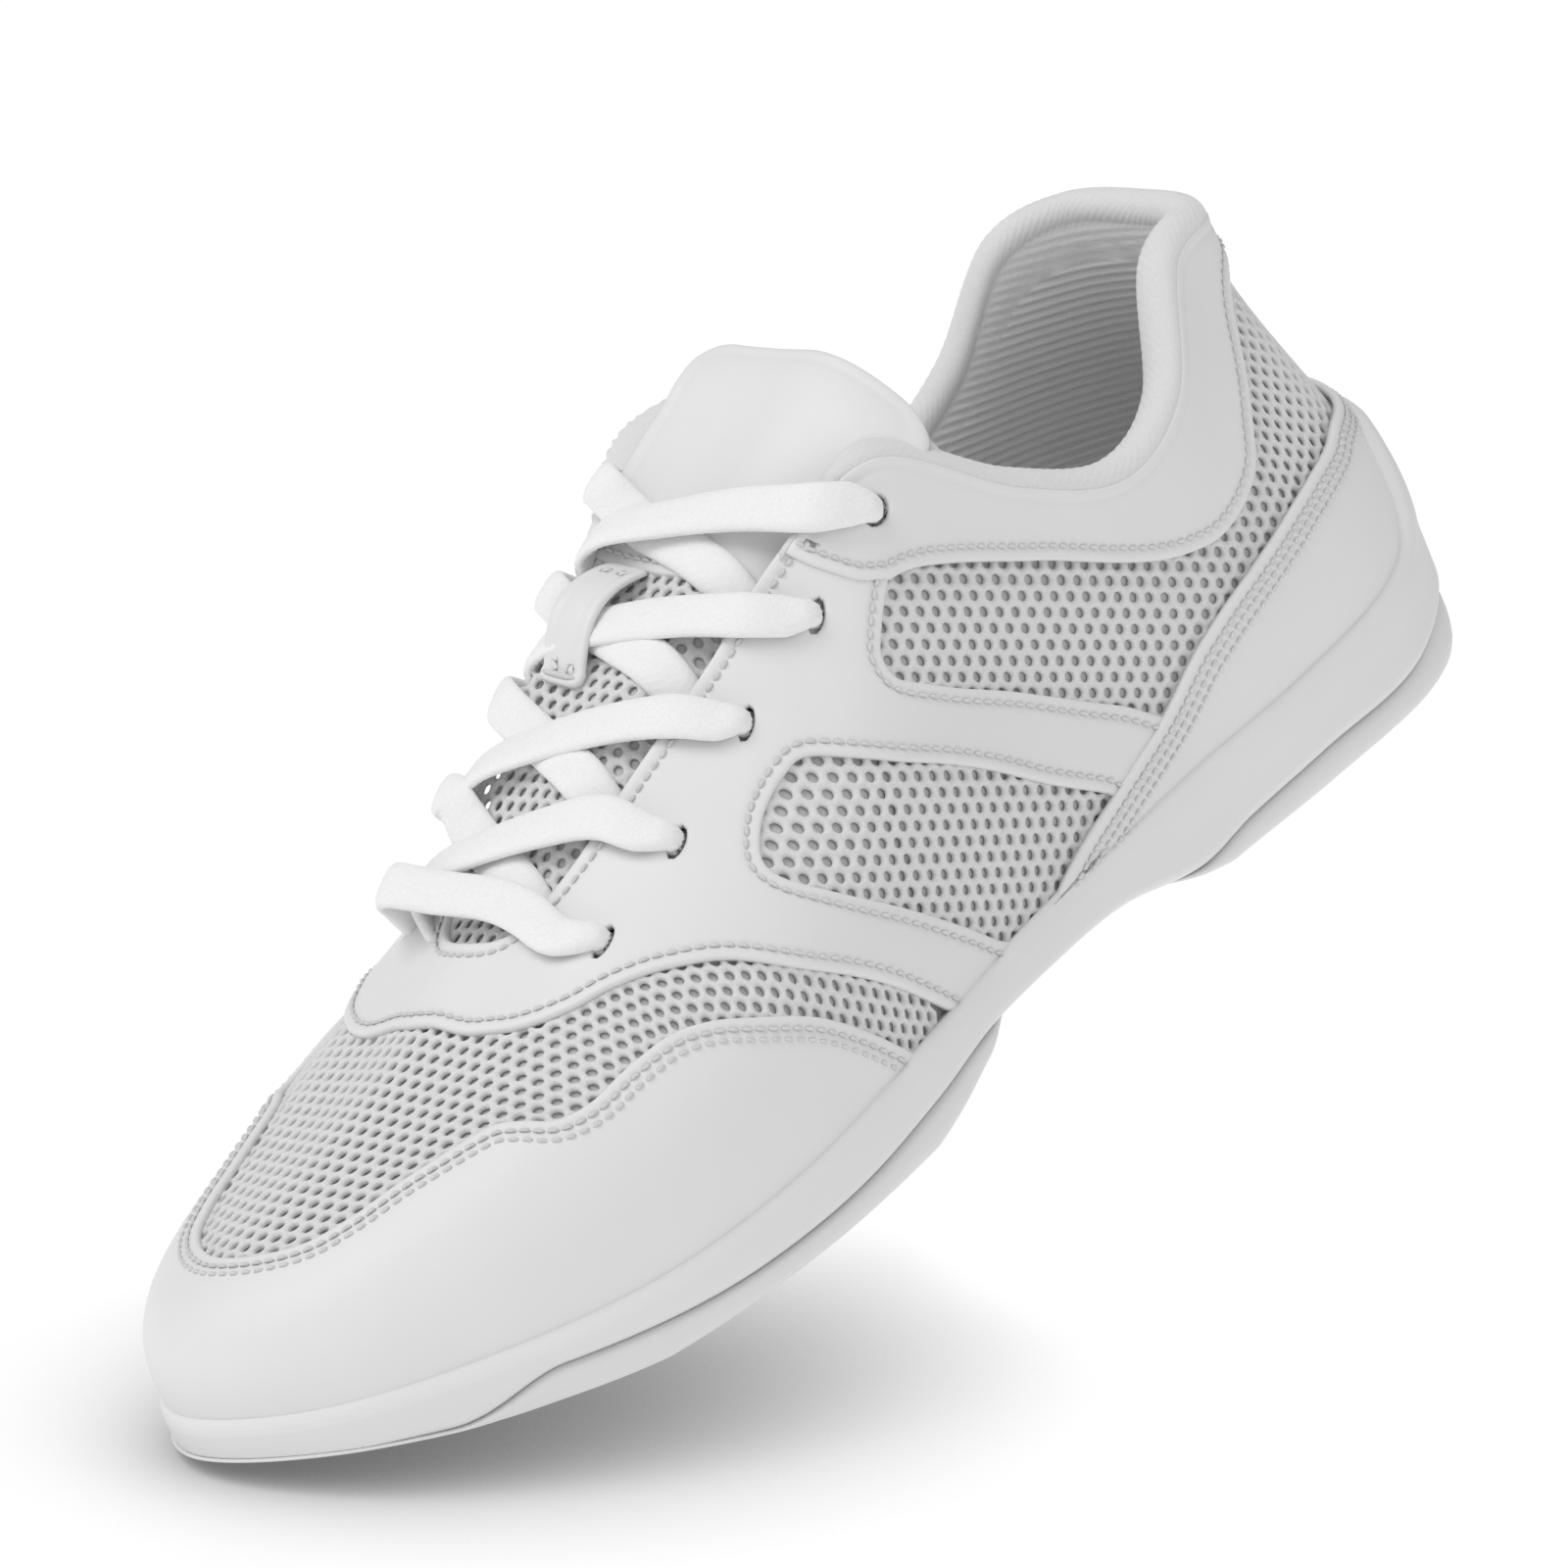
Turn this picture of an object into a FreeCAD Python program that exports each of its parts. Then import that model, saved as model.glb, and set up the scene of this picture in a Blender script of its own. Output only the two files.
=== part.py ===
"""A low laced cheer shoe for the left foot, as a parametric FreeCAD document.

Millimetres.  +Z is up, the toe points to -Y, the outer (lateral) side of the foot is +X, and the
origin is the middle of the shoe's footprint on the ground.

The upper is a closed band.  It starts at the feather line (where it meets the sole) and ends at the
top line (throat and collar).  A station runs round that band: 0 at the back of the heel, 12 at the
toe, positive on the lateral side and negative on the medial side.  A rise runs up the band from 0 at
the feather line to 1 at the top line.  Each layer of the upper is a skin at its own depth inwards.
"""
import FreeCAD, Part
import math
import os

from FreeCAD import Vector

TOE = 12                 # station of the toe
RING = 2 * TOE           # stations in a full turn round the shoe

doc = FreeCAD.newDocument("cheer_shoe")
sheet = doc.addObject("Spreadsheet::Sheet", "Sizes")

SIZES = (
    ("shoe_length", 263.0, "heel to toe at the sole edge"),
    ("drawn_length", 263.0, "length at which the outlines below are drawn"),
    ("centre_x", -2.07, "moves the footprint's middle to the origin"),
    ("centre_y", 3.25, "moves the footprint's middle to the origin"),
    ("sole_block", 40.0, "height of the block a sole part is cut from"),
    ("sole_lip", 1.4, "how far the midsole stands out past the upper"),
    ("tread_lip", 0.9, "how far the rubber tread stands out past the upper"),
    ("ply_gap", 0.35, "clearance between neighbouring plies"),
    ("overlay_ply", 0.9, "synthetic leather overlays"),
    ("mesh_ply", 0.8, "open mesh"),
    ("stiffener_ply", 0.8, "toe puff, heel counter and eyelet stays"),
    ("lining_ply", 0.6, "textile lining"),
    ("collar_pad", 4.2, "foam in the collar"),
    ("board_ply", 1.6, "lasting board"),
    ("sock_ply", 3.2, "sockliner foam"),
    ("cover_ply", 0.7, "sockliner cover"),
    ("inside_margin", 6.4, "feather line to the edge of the sockliner"),
    ("shank_width", 22.0, "arch shank"),
    ("shank_length", 74.0, "arch shank"),
    ("shank_ply", 1.2, "arch shank"),
    ("eyelet_radius", 2.2, "punched lace holes"),
    ("lace_radius", 1.5, "shoelace as a round cord"),
    ("lace_lift", 3.2, "middle of the lace above what it lies on"),
    ("lace_crossing", 3.4, "height between two crossing strands"),
    ("tongue_pad", 3.0, "foam in the tongue"),
    ("tongue_ply", 0.8, "tongue face, mesh and lining"),
)
for row_number, (alias, value, note) in enumerate(SIZES, start=1):
    sheet.set(f"A{row_number}", alias)
    sheet.set(f"B{row_number}", str(value))
    sheet.setAlias(f"B{row_number}", alias)
    sheet.set(f"C{row_number}", note)
doc.recompute()


def size(alias):
    return float(getattr(sheet, alias))


GAP = size("ply_gap")
SCALE = size("shoe_length") / size("drawn_length")
OVERLAY = (-size("overlay_ply"), 0.0)
MESH = (OVERLAY[0] - GAP - size("mesh_ply"), OVERLAY[0] - GAP)
STAY = (MESH[0] - GAP - size("stiffener_ply"), MESH[0] - GAP)
LINING = (STAY[0] - GAP - size("lining_ply"), STAY[0] - GAP)

# ---------------------------------------------------------------- outlines of the shoe
# One row per station from heel to toe: y, lateral x, medial x, lateral z, medial z.
FEATHER_LINE = (
    (126.5, 0, 0, 21.5, 21.5), (118.5, 20, -19, 21, 21), (102, 30.5, -28.5, 19.5, 19.5),
    (76, 33, -29.5, 17.5, 17.5), (50, 33, -28, 16.5, 16.5), (24, 35, -29, 15.5, 15.5),
    (-1, 39.5, -33, 15, 15), (-26, 44.5, -38.5, 13.5, 13.5), (-52, 47, -42.5, 11.5, 11.5),
    (-78, 44, -41.5, 11, 11), (-103, 34.5, -34, 13, 13), (-123.5, 19, -21.5, 16, 16),
    (-133, -2, -2, 18, 18))
TOP_LINE = (
    (113, 0, 0, 83, 83), (108.5, 15, -15, 83, 85), (95, 20.5, -22, 81.5, 84),
    (80, 27.5, -26.5, 66.5, 70), (63.5, 29, -28, 61.5, 64), (46.5, 26.5, -26, 70, 69.5),
    (27.5, 21, -19.5, 86, 83), (7, 17, -16, 79.7, 77.2), (-11.5, 15.5, -15, 71.3, 70.3),
    (-30, 14, -14.5, 64, 63), (-45.5, 12, -13, 57, 55.5), (-55.5, 7.5, -9.5, 52.5, 51.5),
    (-58.5, -1, -1, 52, 52))
# How the band bends between the two lines at each station: bulge at the foot of the band, how high
# that bulge reaches, how long the top holds its direction, and that direction's slope in degrees.
BAND_BEND = (
    (3.5, 0.30, 0.30, 95), (3.5, 0.30, 0.30, 95), (3.0, 0.33, 0.30, 92), (2.5, 0.36, 0.30, 88),
    (2.0, 0.38, 0.30, 86), (2.0, 0.40, 0.35, 78), (2.0, 0.45, 0.40, 68), (2.5, 0.50, 0.45, 55),
    (3.0, 0.55, 0.50, 45), (3.0, 0.60, 0.50, 38), (3.0, 0.65, 0.50, 32), (3.0, 0.70, 0.55, 27),
    (2.5, 0.72, 0.60, 25))
# Side profiles of the sole, heel to toe: y, z.  The tread's dips below zero, where the block's flat
# underside at zero is left as the resting face.
TREAD_PROFILE = (
    (160, 6.0), (140, 2.0), (124, -0.4), (100, -1.0), (80, -1.0), (56, -0.6), (43, 2.2),
    (28, 6.8), (10, 8.0), (-6, 6.2), (-20, 1.8), (-32, -0.6), (-55, -1.0), (-78, -0.5),
    (-102, 3.2), (-120, 7.6), (-134, 11.4), (-160, 19.0))
MIDSOLE_PROFILE = (
    (160, 15.0), (133, 12.2), (118, 10.6), (98, 5.9), (76, 5.6), (58, 4.6), (45, 3.2), (28, 7.0),
    (10, 8.2), (-8, 8.4), (-24, 6.4), (-42, 4.6), (-62, 4.2), (-78, 5.2), (-100, 8.4),
    (-118, 12.0), (-134, 15.2), (-160, 22.0))
SHANK_MIDDLE = (2.0, 40.0)    # middle of the arch shank in plan
SOLE_TOP_PROFILE = tuple((row[0], row[3]) for row in FEATHER_LINE)
PROFILE_REACH = 160.0    # how far the side profiles run past the heel and the toe


def mix_four(before, start, end, after, share):
    """A smooth curve through four neighbours, at a share of the way from start to end."""
    return 0.5 * (2 * start + (end - before) * share
                  + (2 * before - 5 * start + 4 * end - after) * share ** 2
                  + (3 * start - before - 3 * end + after) * share ** 3)


def ring_value(rows, station):
    """Smooth value round a closed ring of rows, one row per station."""
    turn = station % RING
    first = int(math.floor(turn))
    share = turn - first
    rows_here = [rows[(first + step) % RING] for step in (-1, 0, 1, 2)]
    return [mix_four(*column, share) for column in zip(*rows_here)]


def closed_ring(rows):
    """Turns heel-to-toe rows into x, y, z points all the way round."""
    lateral = [(row[1], row[0], row[3]) for row in rows]
    medial = [(row[2], row[0], row[4]) for row in rows[-2:0:-1]]
    return lateral + medial


def along(points, position):
    """Smooth height at a position along an open profile of (position, height) points."""
    ordered = sorted(points)
    last = len(ordered) - 1
    first = 0
    while first < last - 1 and position > ordered[first + 1][0]:
        first += 1
    start, end = ordered[first], ordered[first + 1]
    before = ordered[max(first - 1, 0)]
    after = ordered[min(first + 2, last)]
    width = end[0] - start[0]
    share = min(max((position - start[0]) / width, 0.0), 1.0)
    slope_in = (end[1] - before[1]) / (end[0] - before[0])
    slope_out = (after[1] - start[1]) / (after[0] - start[0])
    cube, square = share ** 3, share ** 2
    return (start[1] * (2 * cube - 3 * square + 1) + slope_in * width * (cube - 2 * square + share)
            + end[1] * (3 * square - 2 * cube) + slope_out * width * (cube - square))


FEATHER_RING = closed_ring(FEATHER_LINE)
TOP_RING = closed_ring(TOP_LINE)
BEND_RING = list(BAND_BEND) + list(BAND_BEND[-2:0:-1])


def band_point(station, rise):
    """Point on the outside of the upper."""
    foot = ring_value(FEATHER_RING, station)
    top = ring_value(TOP_RING, station)
    bulge, low_reach, high_reach, slope = ring_value(BEND_RING, station)
    run_x, run_y = top[0] - foot[0], top[1] - foot[1]
    run = max(math.hypot(run_x, run_y), 1e-9)
    centre_x, centre_y = -foot[0], min(max(foot[1], -70.0), 96.0) - foot[1]
    centre = math.hypot(centre_x, centre_y)
    trust = min(run / 12.0, 1.0)
    in_x = centre_x / centre * (1 - trust) + run_x / run * trust
    in_y = centre_y / centre * (1 - trust) + run_y / run * trust
    length = math.hypot(in_x, in_y)
    in_x, in_y = in_x / length, in_y / length
    lift = top[2] - foot[2]
    reach = high_reach * math.hypot(run, lift)
    level, climb = math.cos(math.radians(slope)) * reach, math.sin(math.radians(slope)) * reach
    controls = (
        foot,
        (foot[0] - in_x * bulge, foot[1] - in_y * bulge, foot[2] + low_reach * lift),
        (top[0] - in_x * level, top[1] - in_y * level, top[2] - climb),
        top)
    rest = 1.0 - rise
    weights = (rest ** 3, 3 * rest ** 2 * rise, 3 * rest * rise ** 2, rise ** 3)
    return Vector(*[sum(w * c[axis] for w, c in zip(weights, controls)) for axis in range(3)])


def outward(surface_point, across, up, step_across, step_up):
    """Unit normal of a surface, by differences."""
    side = surface_point(across + step_across, up) - surface_point(across - step_across, up)
    high = min(up + step_up, 1.0)
    low = max(up - step_up, 0.0)
    rise = surface_point(across, high) - surface_point(across, low)
    normal = rise.cross(side)
    return normal.normalize()


def placed(point):
    """Scales a drawn point and moves it to the shoe's own frame."""
    return Vector((point.x + size("centre_x")) * SCALE, (point.y + size("centre_y")) * SCALE,
                  point.z * SCALE)


def upper_point(station, rise, depth):
    """Point of the upper at a depth: 0 is the outside, negative is inwards."""
    normal = outward(band_point, station, rise, 0.05, 0.01)
    return placed(band_point(station, rise) + normal * depth)


# ---------------------------------------------------------------- solids from skins
def closed_solid(faces):
    shell = Part.makeShell(faces)
    shell.sewShape()
    solid = Part.Solid(Part.Shell(shell.Faces))
    if solid.Volume < 0:
        solid.reverse()
    return solid


def surface_face(rows):
    surface = Part.BSplineSurface()
    surface.interpolate(rows)
    return surface.toShape()


def thick_skin(point_at, columns, rows, first, last, low, high, inner, outer):
    """Solid between two depths.  low, high, inner and outer are functions of the column."""
    steps = [first + (last - first) * index / (columns - 1) for index in range(columns)]

    def grid(depth):
        return [[point_at(at, low(at) + (high(at) - low(at)) * row / (rows - 1), depth(at))
                 for row in range(rows)] for at in steps]

    outside, inside = surface_face(grid(outer)), surface_face(grid(inner))
    sides = []
    for outer_edge, inner_edge in zip(outside.Edges, inside.Edges):
        sides.append(Part.makeRuledSurface(outer_edge, inner_edge))
    return closed_solid([outside, inside] + [face for side in sides for face in side.Faces])


def constant(value):
    return lambda _: value


COLUMNS_PER_STATION = 3


def upper_skin(first, last, low, high, depths, rows=9):
    """A ply of the upper between two stations, two rises and two depths."""
    low = low if callable(low) else constant(low)
    high = high if callable(high) else constant(high)
    inner = depths[0] if callable(depths[0]) else constant(depths[0])
    outer = depths[1] if callable(depths[1]) else constant(depths[1])
    columns = max(7, int(abs(last - first) * COLUMNS_PER_STATION) + 1)
    return thick_skin(upper_point, columns, rows, first, last, low, high, inner, outer)


def both_sides(profile):
    """A rise profile given for lateral stations, used on both sides."""
    return lambda station: along(profile, abs(station))


NODES = []


def add_shape(name, shape):
    feature = doc.addObject("Part::Feature", name)
    feature.Label = name
    feature.Shape = shape
    feature.Placement = FreeCAD.Placement()
    NODES.append(feature)
    return feature


def side_cutter(outline, lateral):
    """A prism that cuts straight through one side of the upper, from a (y, z) outline."""
    points = [placed(Vector(0, y, z)) for y, z in outline]
    for point in points:
        point.x = 0.0
    wire = Part.makePolygon(points + [points[0]])
    direction = Vector(70 if lateral else -70, 0, 0)
    return Part.Face(wire).extrude(direction)


# ---------------------------------------------------------------- sole, from sketches
def origin_plane(body, role):
    return next(item for item in body.Origin.OriginFeatures if item.Role == role)


def sketch_on(body, name, role):
    sketch = body.newObject("Sketcher::SketchObject", name)
    sketch.AttachmentSupport = (origin_plane(body, role), [""])
    sketch.MapMode = "FlatFace"
    return sketch


def spline(points, closed=False):
    curve = Part.BSplineCurve()
    curve.interpolate(points, PeriodicFlag=closed)
    return curve


def plan_points(grow, per_station=1):
    """Plan outline of the sole, grown outwards from the feather line."""
    points = []
    for index in range(RING * per_station):
        station = index / per_station
        here = ring_value(FEATHER_RING, station)
        ahead = ring_value(FEATHER_RING, station + 0.05)
        back = ring_value(FEATHER_RING, station - 0.05)
        run_x, run_y = ahead[0] - back[0], ahead[1] - back[1]
        length = math.hypot(run_x, run_y)
        point = Vector(here[0] - run_y / length * grow, here[1] + run_x / length * grow, 0)
        point = placed(point)
        point.z = 0
        points.append(point)
    return points


def profile_curve(profile, lift):
    """Side profile as a sketch curve: sketch x is the shoe's y, sketch y its z."""
    points = []
    for y, z in sorted(profile):
        spot = placed(Vector(0, y, z))
        points.append(Vector(spot.y, spot.z + lift, 0))
    return points


def cut_region(sketch, curve_points, level):
    """Closed region between a profile curve and a level line."""
    first, last = curve_points[0], curve_points[-1]
    corner_first, corner_last = Vector(first.x, level, 0), Vector(last.x, level, 0)
    sketch.addGeometry(spline(curve_points), False)
    sketch.addGeometry(Part.LineSegment(last, corner_last), False)
    sketch.addGeometry(Part.LineSegment(corner_last, corner_first), False)
    sketch.addGeometry(Part.LineSegment(corner_first, first), False)


def side_cut(body, name, profile, lift, above):
    """Cuts away everything above (or below) a side profile, right across the body."""
    sketch = sketch_on(body, name + "_profile", "YZ_Plane")
    level = 90.0 if above else -30.0
    cut_region(sketch, profile_curve(profile, lift), level)
    pocket = body.newObject("PartDesign::Pocket", name)
    pocket.Profile = sketch
    pocket.Type = "ThroughAll"
    pocket.Midplane = True
    return pocket


def sole_body(name, grow, bottom, bottom_lift, top, top_lift):
    """A full-length sole part: a plan outline padded up, then cut to its side profiles."""
    body = doc.addObject("PartDesign::Body", name)
    body.Label = name
    plan = sketch_on(body, name + "_plan", "XY_Plane")
    plan.addGeometry(spline(plan_points(grow), closed=True), False)
    pad = body.newObject("PartDesign::Pad", name + "_pad")
    pad.Profile = plan
    pad.setExpression("Length", "Sizes.sole_block")
    side_cut(body, name + "_top_cut", top, top_lift, above=True)
    if bottom:
        side_cut(body, name + "_bottom_cut", bottom, bottom_lift, above=False)
    doc.recompute()
    NODES.append(body)
    return body


def extend(profile):
    """Runs a heel-to-toe profile level past both ends."""
    ordered = sorted(profile)
    return ([(-PROFILE_REACH, ordered[0][1])] + ordered + [(PROFILE_REACH, ordered[-1][1])])


TOP_OF_SOLE = extend(SOLE_TOP_PROFILE)


def trimmed(body, first_y, last_y):
    """Removes everything outside first_y..last_y (drawn) from a sole body."""
    name = body.Label
    sketch = sketch_on(body, name + "_ends", "YZ_Plane")
    for near, far in ((-PROFILE_REACH - 20, first_y), (last_y, PROFILE_REACH + 20)):
        left = placed(Vector(0, near, 0)).y
        right = placed(Vector(0, far, 0)).y
        corners = [Vector(left, -20, 0), Vector(right, -20, 0), Vector(right, 80, 0),
                   Vector(left, 80, 0)]
        for start, end in zip(corners, corners[1:] + corners[:1]):
            sketch.addGeometry(Part.LineSegment(start, end), False)
    pocket = body.newObject("PartDesign::Pocket", name + "_end_cut")
    pocket.Profile = sketch
    pocket.Type = "ThroughAll"
    pocket.Midplane = True
    doc.recompute()
    return body


def shank_body(name, grow, top_lift):
    """The sprung strip under the arch, or (grown) the recess it lies in."""
    body = doc.addObject("PartDesign::Body", name)
    body.Label = name
    plan = sketch_on(body, name + "_plan", "XY_Plane")
    middle = placed(Vector(SHANK_MIDDLE[0], SHANK_MIDDLE[1], 0))
    half_width, half_length = size("shank_width") / 2 + grow, size("shank_length") / 2 + grow
    run = half_length - half_width
    left, right = middle.x - half_width, middle.x + half_width
    low, high = middle.y - run, middle.y + run
    plan.addGeometry(Part.LineSegment(Vector(right, low, 0), Vector(right, high, 0)), False)
    plan.addGeometry(Part.Arc(Vector(right, high, 0), Vector(middle.x, high + half_width, 0),
                              Vector(left, high, 0)), False)
    plan.addGeometry(Part.LineSegment(Vector(left, high, 0), Vector(left, low, 0)), False)
    plan.addGeometry(Part.Arc(Vector(left, low, 0), Vector(middle.x, low - half_width, 0),
                              Vector(right, low, 0)), False)
    pad = body.newObject("PartDesign::Pad", name + "_pad")
    pad.Profile = plan
    pad.setExpression("Length", "Sizes.sole_block")
    bottom_lift = -2 * GAP - size("shank_ply") - grow
    side_cut(body, name + "_top_cut", TOP_OF_SOLE, top_lift, above=True)
    side_cut(body, name + "_bottom_cut", TOP_OF_SOLE, bottom_lift, above=False)
    doc.recompute()
    return body


def make_sole():
    lip, tread = size("sole_lip"), size("tread_lip")
    gap, board, sock, cover = GAP, size("board_ply"), size("sock_ply"), size("cover_ply")
    margin = -size("inside_margin")
    heel = sole_body("heel_outsole", tread, TREAD_PROFILE, 0, MIDSOLE_PROFILE, -gap)
    trimmed(heel, 44.0, PROFILE_REACH)
    fore = sole_body("forefoot_outsole", tread, TREAD_PROFILE, 0, MIDSOLE_PROFILE, -gap)
    trimmed(fore, -PROFILE_REACH, -12.0)
    block = sole_body("midsole_block", lip, MIDSOLE_PROFILE, 0, TOP_OF_SOLE, -gap)
    NODES.remove(block)
    recess = shank_body("shank_recess", gap, -0.5 * gap)
    midsole = doc.addObject("Part::Cut", "midsole")
    midsole.Label = "midsole"
    midsole.Base, midsole.Tool = block, recess
    NODES.append(midsole)
    NODES.append(shank_body("arch_shank", 0.0, -2 * gap))
    level = gap
    sole_body("lasting_board", margin + 1.0, TOP_OF_SOLE, level, TOP_OF_SOLE, level + board)
    level += board + gap
    sole_body("sockliner_foam", margin, TOP_OF_SOLE, level, TOP_OF_SOLE, level + sock)
    level += sock + gap
    sole_body("sockliner_cover", margin, TOP_OF_SOLE, level, TOP_OF_SOLE, level + cover)


make_sole()

# ---------------------------------------------------------------- inner plies of the upper
COLLAR_FRONT = 6.0       # station where the collar padding ends, each side
COLLAR_RISE = 0.56       # rise at which the collar padding starts
TOP_EDGE = 0.985         # rise at which inner plies stop, just short of the top line
FOOT_EDGE = 0.03         # rise at which plies start, just clear of the midsole
CENTRE_GAP = 0.02        # stations left open between plies that meet end to end


def collar_depth(extra):
    """Depth of the collar padding, thinner where it runs out at the throat."""
    full = size("collar_pad")

    def depth(station):
        fade = min(max((COLLAR_FRONT - abs(station)) / 1.3, 0.0), 1.0)
        return MESH[0] - GAP - 0.9 - (full - 0.9) * fade - extra
    return depth


def make_linings():
    add_shape("vamp_lining", upper_skin(COLLAR_FRONT + CENTRE_GAP, RING - COLLAR_FRONT - CENTRE_GAP,
                                        FOOT_EDGE, TOP_EDGE, LINING))
    add_shape("quarter_lining", upper_skin(-COLLAR_FRONT, COLLAR_FRONT, FOOT_EDGE,
                                           COLLAR_RISE - 0.02, LINING))
    pad = collar_depth(0.0)
    lining_out, lining_in = collar_depth(GAP), collar_depth(GAP + size("lining_ply"))
    add_shape("collar_foam", upper_skin(-COLLAR_FRONT, COLLAR_FRONT, COLLAR_RISE, TOP_EDGE,
                                        (pad, MESH[0] - GAP)))
    add_shape("collar_lining", upper_skin(-COLLAR_FRONT, COLLAR_FRONT, COLLAR_RISE, TOP_EDGE,
                                          (lining_in, lining_out)))


def make_stiffeners():
    add_shape("toe_puff", upper_skin(9.6, RING - 9.6, FOOT_EDGE, 0.42, STAY))
    add_shape("heel_counter", upper_skin(-3.4, 3.4, FOOT_EDGE, COLLAR_RISE - 0.02, STAY))


make_linings()
make_stiffeners()

# ---------------------------------------------------------------- outer plies of the upper
# Edges of the overlays as rise against station, the same on both sides.
TOE_CAP_EDGE = ((7.0, 0.06), (7.5, 0.20), (8.0, 0.34), (8.5, 0.42), (9.0, 0.435), (9.4, 0.43),
                (9.8, 0.49), (10.2, 0.54), (10.7, 0.53), (11.2, 0.47), (12.0, 0.45))
EYESTAY_FRONT = ((5.4, 0.02), (6.4, 0.02), (6.9, 0.14), (7.4, 0.29), (8.0, 0.475), (8.6, 0.595),
                 (9.1, 0.655), (9.6, 0.70), (10.1, 0.76), (10.7, 0.83), (11.4, 0.885),
                 (12.0, 0.895))
COLLAR_EDGE = ((0.0, 0.86), (1.1, 0.84), (1.9, 0.665), (2.4, 0.57), (2.8, 0.525), (3.3, 0.565),
               (4.2, 0.735), (5.0, 0.80), (5.6, 0.79), (6.1, 0.785), (6.5, 0.86), (6.9, 0.95))
HEEL_EDGE = ((0.0, 0.40), (1.4, 0.39), (2.2, 0.375), (3.0, 0.38), (3.5, 0.33), (4.0, 0.215),
             (4.6, 0.11), (5.1, 0.05), (5.4, 0.035))
REAR_WINDOW = ((13, 62.5), (11.3, 58.5), (12.3, 54.5), (18.5, 50.7), (31, 42.4), (43.3, 33.1),
               (52, 25), (80, 28), (80, 90), (20, 90))
FRONT_WINDOW = ((-8.9, 55.6), (3.5, 47.2), (20.8, 34.3), (33.5, 23.2), (33, 19), (20, 8), (4, 8),
                (-3.5, 23.4), (-17.6, 36.6), (-25.8, 44.8), (-27.9, 48.1), (-25.9, 50.7),
                (-20.9, 53.5), (-14.3, 55.6))
# Lace holes from the top row down.
EYELET_STATIONS = (6.07, 6.75, 7.64, 8.49, 9.26)
EYELET_RISES = (0.905, 0.855, 0.854, 0.813, 0.772)


def eyelet_cutters():
    """Round punches through every ply at the lace holes, both sides."""
    cutters = []
    for side in (1, -1):
        for station, rise in zip(EYELET_STATIONS, EYELET_RISES):
            outside = upper_point(side * station, rise, 3.0)
            inside = upper_point(side * station, rise, -9.0)
            axis = inside - outside
            cutters.append(Part.makeCylinder(size("eyelet_radius"), axis.Length, outside, axis))
    return cutters


EYELET_CUTTERS = eyelet_cutters()


def make_mesh():
    front = 6.95
    top = 0.97
    add_shape("vamp_mesh", upper_skin(front + CENTRE_GAP, RING - front - CENTRE_GAP, FOOT_EDGE, top,
                                      MESH).cut(EYELET_CUTTERS))
    for name, first, last in (("quarter_mesh_lateral", 0.03, front),
                              ("quarter_mesh_medial", -front, -0.03)):
        add_shape(name, upper_skin(first, last, FOOT_EDGE, top, MESH).cut(EYELET_CUTTERS))


def make_overlays():
    add_shape("toe_cap", upper_skin(7.05, RING - 7.05, 0.015, toe_cap_rise, OVERLAY))
    windows = [side_cutter(outline, lateral) for lateral in (True, False)
               for outline in (REAR_WINDOW, FRONT_WINDOW)]
    stay = upper_skin(4.0, RING - 4.0, eyestay_low, eyestay_high, OVERLAY)
    add_shape("eyestay", stay.cut(windows + EYELET_CUTTERS))
    collar = upper_skin(-6.85, 6.85, both_sides(COLLAR_EDGE), 0.99, OVERLAY)
    add_shape("collar_overlay", collar.cut(EYELET_CUTTERS))
    add_shape("heel_foxing", upper_skin(-5.35, 5.35, 0.015, both_sides(HEEL_EDGE), OVERLAY))


def from_heel(station):
    """Distance in stations from the heel, whichever way round."""
    return min(station % RING, RING - station % RING)


def toe_cap_rise(station):
    return along(TOE_CAP_EDGE, from_heel(station))


def eyestay_low(station):
    near = from_heel(station)
    if near < 5.4:
        return along(HEEL_EDGE, near) + 0.025
    return max(along(EYESTAY_FRONT, near), 0.02) + 0.012


def eyestay_high(station):
    near = from_heel(station)
    collar = along(COLLAR_EDGE, min(near, 6.9)) - 0.02
    if near <= 6.8:
        return collar
    return collar + (0.985 - collar) * min((near - 6.8) / 0.3, 1.0)


make_mesh()
make_overlays()


def make_stays():
    """Stiff strips behind the lace holes."""
    for name, side in (("eyelet_stay_lateral", 1), ("eyelet_stay_medial", -1)):
        strip = upper_skin(side * 6.45, side * 9.9, 0.72, 0.95, STAY)
        add_shape(name, strip.cut(EYELET_CUTTERS))


make_stays()

# ---------------------------------------------------------------- tongue
# Middle line of the tongue's face from the toe end up: y, z; then its half width and how far its
# edges droop below the middle.
TONGUE_LINE = ((-68, 37.0), (-57, 44.5), (-45, 54.5), (-32, 63.5), (-18, 71.0), (0, 78.5),
               (14, 84.5), (25, 90.5), (36, 98.5))
TONGUE_HALF_WIDTH = ((-68, 12), (-57, 12.5), (-45, 14.5), (-18, 15.5), (0, 15.5), (14, 15),
                     (25, 15), (30, 16.5), (34, 20), (36, 20))
TONGUE_DROOP = ((-68, 10), (-57, 12), (-45, 15), (-18, 16), (0, 16), (14, 13.0), (25, 9.0),
                (31, 5.0), (36, 5.0))
LOOP_SHARES = (0.47, 0.66)    # where the lace keeper starts and ends along the tongue
LOOP_WIDTH = 0.33            # its half width as a share of the tongue's
LOOP_RISE = 10.2              # its height over the strands that pass under it
TONGUE_PANEL_START = 0.60    # share of the length where the face panel takes over from the mesh


def tongue_line_at(share):
    first, last = TONGUE_LINE[0][0], TONGUE_LINE[-1][0]
    y = first + (last - first) * share
    return y, along(TONGUE_LINE, y)


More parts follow.
